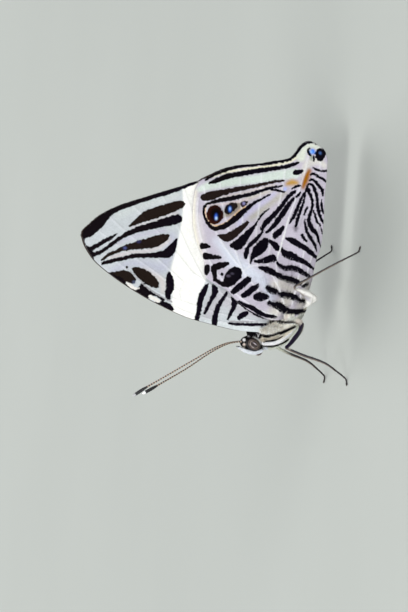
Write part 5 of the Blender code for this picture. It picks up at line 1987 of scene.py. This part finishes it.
@dataclass
class Antenna:
    """A slender ringed antenna with a flattened club."""

    side: Side
    rows: Rows
    tip_white: float
    finish: Material
    sides: int = 14
    step: float = 0.07
    notch: float = 0.16
    club: float = 2.5
    tip: float = 0.5

    def build(self) -> None:
        """Models the antenna and marks its shaft, club and tip."""
        line = smooth_rows(self.rows, self.step, 3)
        line[:, 1] *= self.side.value
        travelled = travel(line[:, :3])
        line[:, 3] *= 1 - self.notch * np.abs(np.sin(math.pi * travelled / RING_LENGTH)) ** 8
        total = travelled[-1]
        bm = bmesh.new()
        draw_tube(bm, line, self.sides)
        bmesh.ops.recalc_face_normals(bm, faces=bm.faces[:])
        mesh = meshed(bm, "antenna")
        along = np.zeros(len(mesh.vertices), np.float32)
        mesh.attributes["along"].data.foreach_get("value", along)
        write_data(mesh, "shaft", ease(along, total - self.club, total - self.club - 0.4))
        write_data(mesh, "club", ease(along, total - self.club - 0.1, total - self.club + 0.2))
        write_data(mesh, "tip", self.tip_white * ease(along, total - self.tip - 0.05, total - self.tip + 0.1))
        node = f"antenna_{self.side.label}"
        publish(mesh, f"{node}_ringed", self.finish, (node,))


@dataclass
class Proboscis:
    """The coiled tongue between the palps."""

    finish: Material
    middle: Row = (-9.00, 12.80)
    turns: float = 2.1
    outer: float = 0.62
    inner: float = 0.17
    radius: float = 0.12
    taper: float = 0.45
    rib: float = 0.08
    steps: int = 110
    sides: int = 12

    def build(self) -> None:
        """Models the ribbed coil."""
        share = np.linspace(0.0, 1.0, self.steps)
        angle = share * self.turns * 2 * math.pi
        reach = self.outer + (self.inner - self.outer) * share
        ribbed = self.radius * (1 - self.taper * share) * (1 - self.rib * np.cos(share * self.steps * 1.6))
        x = self.middle[0] + reach * np.cos(angle)
        z = self.middle[1] - reach * np.sin(angle)
        bm = bmesh.new()
        draw_tube(bm, np.stack([x, 0 * x, z, ribbed], 1), self.sides)
        bmesh.ops.recalc_face_normals(bm, faces=bm.faces[:])
        publish(meshed(bm, "tongue"), "proboscis_coil", self.finish, ("proboscis",))


@dataclass
class Studio:
    """A plain pale floor, soft lights and the camera at the photograph's angle."""

    floor_size: float = 6.0
    floor_colour: Row = (160, 164, 158)
    floor_cloud: float = 8.0
    air_colour: Row = (0.93, 0.96, 1.0, 1.0)
    air_strength: float = 0.52
    lamps: tuple[tuple[str, Row, float, float], ...] = (
        ("key_light", (-0.35, -0.75, 0.75), 0.45, 7.2),
        ("head_light", (-0.6, -0.5, 0.1), 0.4, 4.2),
        ("fill_light", (0.5, -0.6, 0.35), 0.5, 2.0),
        ("far_light", (-0.1, 0.8, 0.6), 0.6, 5.5),
    )
    lamp_aim: Row = (0.0, 0.0, 0.02)
    centre: Row = (-2.585, 0.0, 21.9)
    reach: float = 1.2
    wide: float = 0.09486
    elevation: float = 12.0
    roll: float = 4.41
    sensor: float = 36.0

    def floor(self) -> None:
        """Lays the floor under the feet."""
        recipe = Recipe("pale_floor")
        high = tuple(value + self.floor_cloud for value in self.floor_colour)
        recipe.dress(recipe.mix(recipe.noise(14.0, 3.0), linear(self.floor_colour), linear(high)), 0.8)
        bm = bmesh.new()
        bmesh.ops.create_grid(bm, x_segments=4, y_segments=4, size=self.floor_size)
        mesh = meshed(bm, "studio_floor")
        mesh.materials.append(recipe.material)
        floor = bpy.data.objects.new("studio_floor", mesh)
        bpy.context.collection.objects.link(floor)

    def lamp(self, name: str, place: Row, size: float, power: float) -> None:
        """Hangs a soft square light that looks at the model's middle.

        Args:
            name: The light's name.
            place: Where it hangs, in metres.
            size: How wide it is.
            power: How bright it is, in watts.
        """
        light = bpy.data.lights.new(name, "AREA")
        light.shape = "SQUARE"
        light.size = size
        light.energy = power
        lamp = bpy.data.objects.new(name, light)
        bpy.context.collection.objects.link(lamp)
        lamp.location = place
        lamp.rotation_euler = (Vector(self.lamp_aim) - Vector(place)).to_track_quat("-Z", "Y").to_euler()

    def lights(self) -> None:
        """Lights the model softly from all round, most from the photographed side."""
        world = bpy.data.worlds.new("studio_air")
        bpy.context.scene.world = world
        world.use_nodes = True
        air = world.node_tree.nodes["Background"]
        air.inputs["Color"].default_value = self.air_colour
        air.inputs["Strength"].default_value = self.air_strength
        for name, place, size, power in self.lamps:
            self.lamp(name, place, size, power)

    def camera(self) -> None:
        """Sets the camera at the photograph's angle, turned with the animal."""
        up_share = math.sin(math.radians(self.elevation))
        level = math.cos(math.radians(self.elevation))
        turn = math.radians(self.roll)
        across = Vector((0.0, up_share, level))
        along = Vector((1.0, 0.0, 0.0))
        right = along * math.sin(turn) - across * math.cos(turn)
        up = along * math.cos(turn) + across * math.sin(turn)
        back = Vector((0.0, -level, up_share))
        x, y, z = self.centre
        place = Vector(((x - MIDDLE_X) * MM, y * MM, z * MM)) + back * self.reach
        data = bpy.data.cameras.new("photo_camera")
        data.sensor_width = self.sensor
        data.lens = self.sensor * self.reach / self.wide
        data.clip_start = 0.01
        data.clip_end = 100.0
        camera = bpy.data.objects.new("photo_camera", data)
        bpy.context.collection.objects.link(camera)
        camera.matrix_world = Matrix.Translation(place) @ Matrix((right, up, back)).transposed().to_4x4()
        bpy.context.scene.camera = camera

    def build(self) -> None:
        """Sets up the whole studio."""
        bpy.context.scene.view_settings.view_transform = "Standard"
        self.floor()
        self.lights()
        self.camera()


def main() -> None:
    logging.basicConfig(level=logging.INFO, format="%(message)s")
    Studio().build()
    wing_finish = WingFinish().make()
    skin = SkinFinish("body_skin").make()
    coat = CoatFinish("body_coat").make()
    wing_coat = CoatFinish("wing_coat").make()
    leg_skin = SkinFinish("leg_skin").make()
    leg_coat = CoatFinish("leg_coat").make()
    eye = EyeFinish().make()
    antenna = AntennaFinish().make()
    cuticle = CuticleFinish().make()
    Body(skin, coat).build()
    Proboscis(cuticle).build()
    for side in Side:
        fore = Wing(WingKind.FORE, side, wing_finish, FORE_OUTLINE, FORE_ART, shift=0.19)
        hind = Wing(WingKind.HIND, side, wing_finish, HIND_OUTLINE, HIND_ART, shift=-0.19)
        for wing in (fore, hind):
            wing.build()
            wing.build_fringe(wing_coat)
        hind.build_hair(wing_coat)
        Eye(side, eye).build()
        Shoulder(side, skin, coat).build()
        Limb("palp", side, PALP_ROWS, BODY_ART, skin, coat, cuticle, coat_count=1900, coat_length=0.22,
             coat_width=0.07, slot="body_scales").build()
        Limb("foreleg", side, FORELEG_ROWS, BODY_ART, leg_skin, leg_coat, cuticle, joints=(1,),
             coat_count=3200, coat_length=0.28, fold=FORELEG_FOLD).build()
        Limb("midleg", side, MIDLEG_ROWS, LEG_ART, leg_skin, leg_coat, cuticle, joints=(1, 5), ankle=9,
             coat_count=3200, spines=9).build()
        Limb("hindleg", side, HINDLEG_ROWS, LEG_ART, leg_skin, leg_coat, cuticle, joints=(1, 5), ankle=9,
             coat_count=4200, spines=9, fold=HINDLEG_PAD).build()
    Antenna(Side.LEFT, LEFT_ANTENNA, 1.0, antenna).build()
    Antenna(Side.RIGHT, RIGHT_ANTENNA, 0.4, antenna).build()


if __name__ == "__main__":
    main()
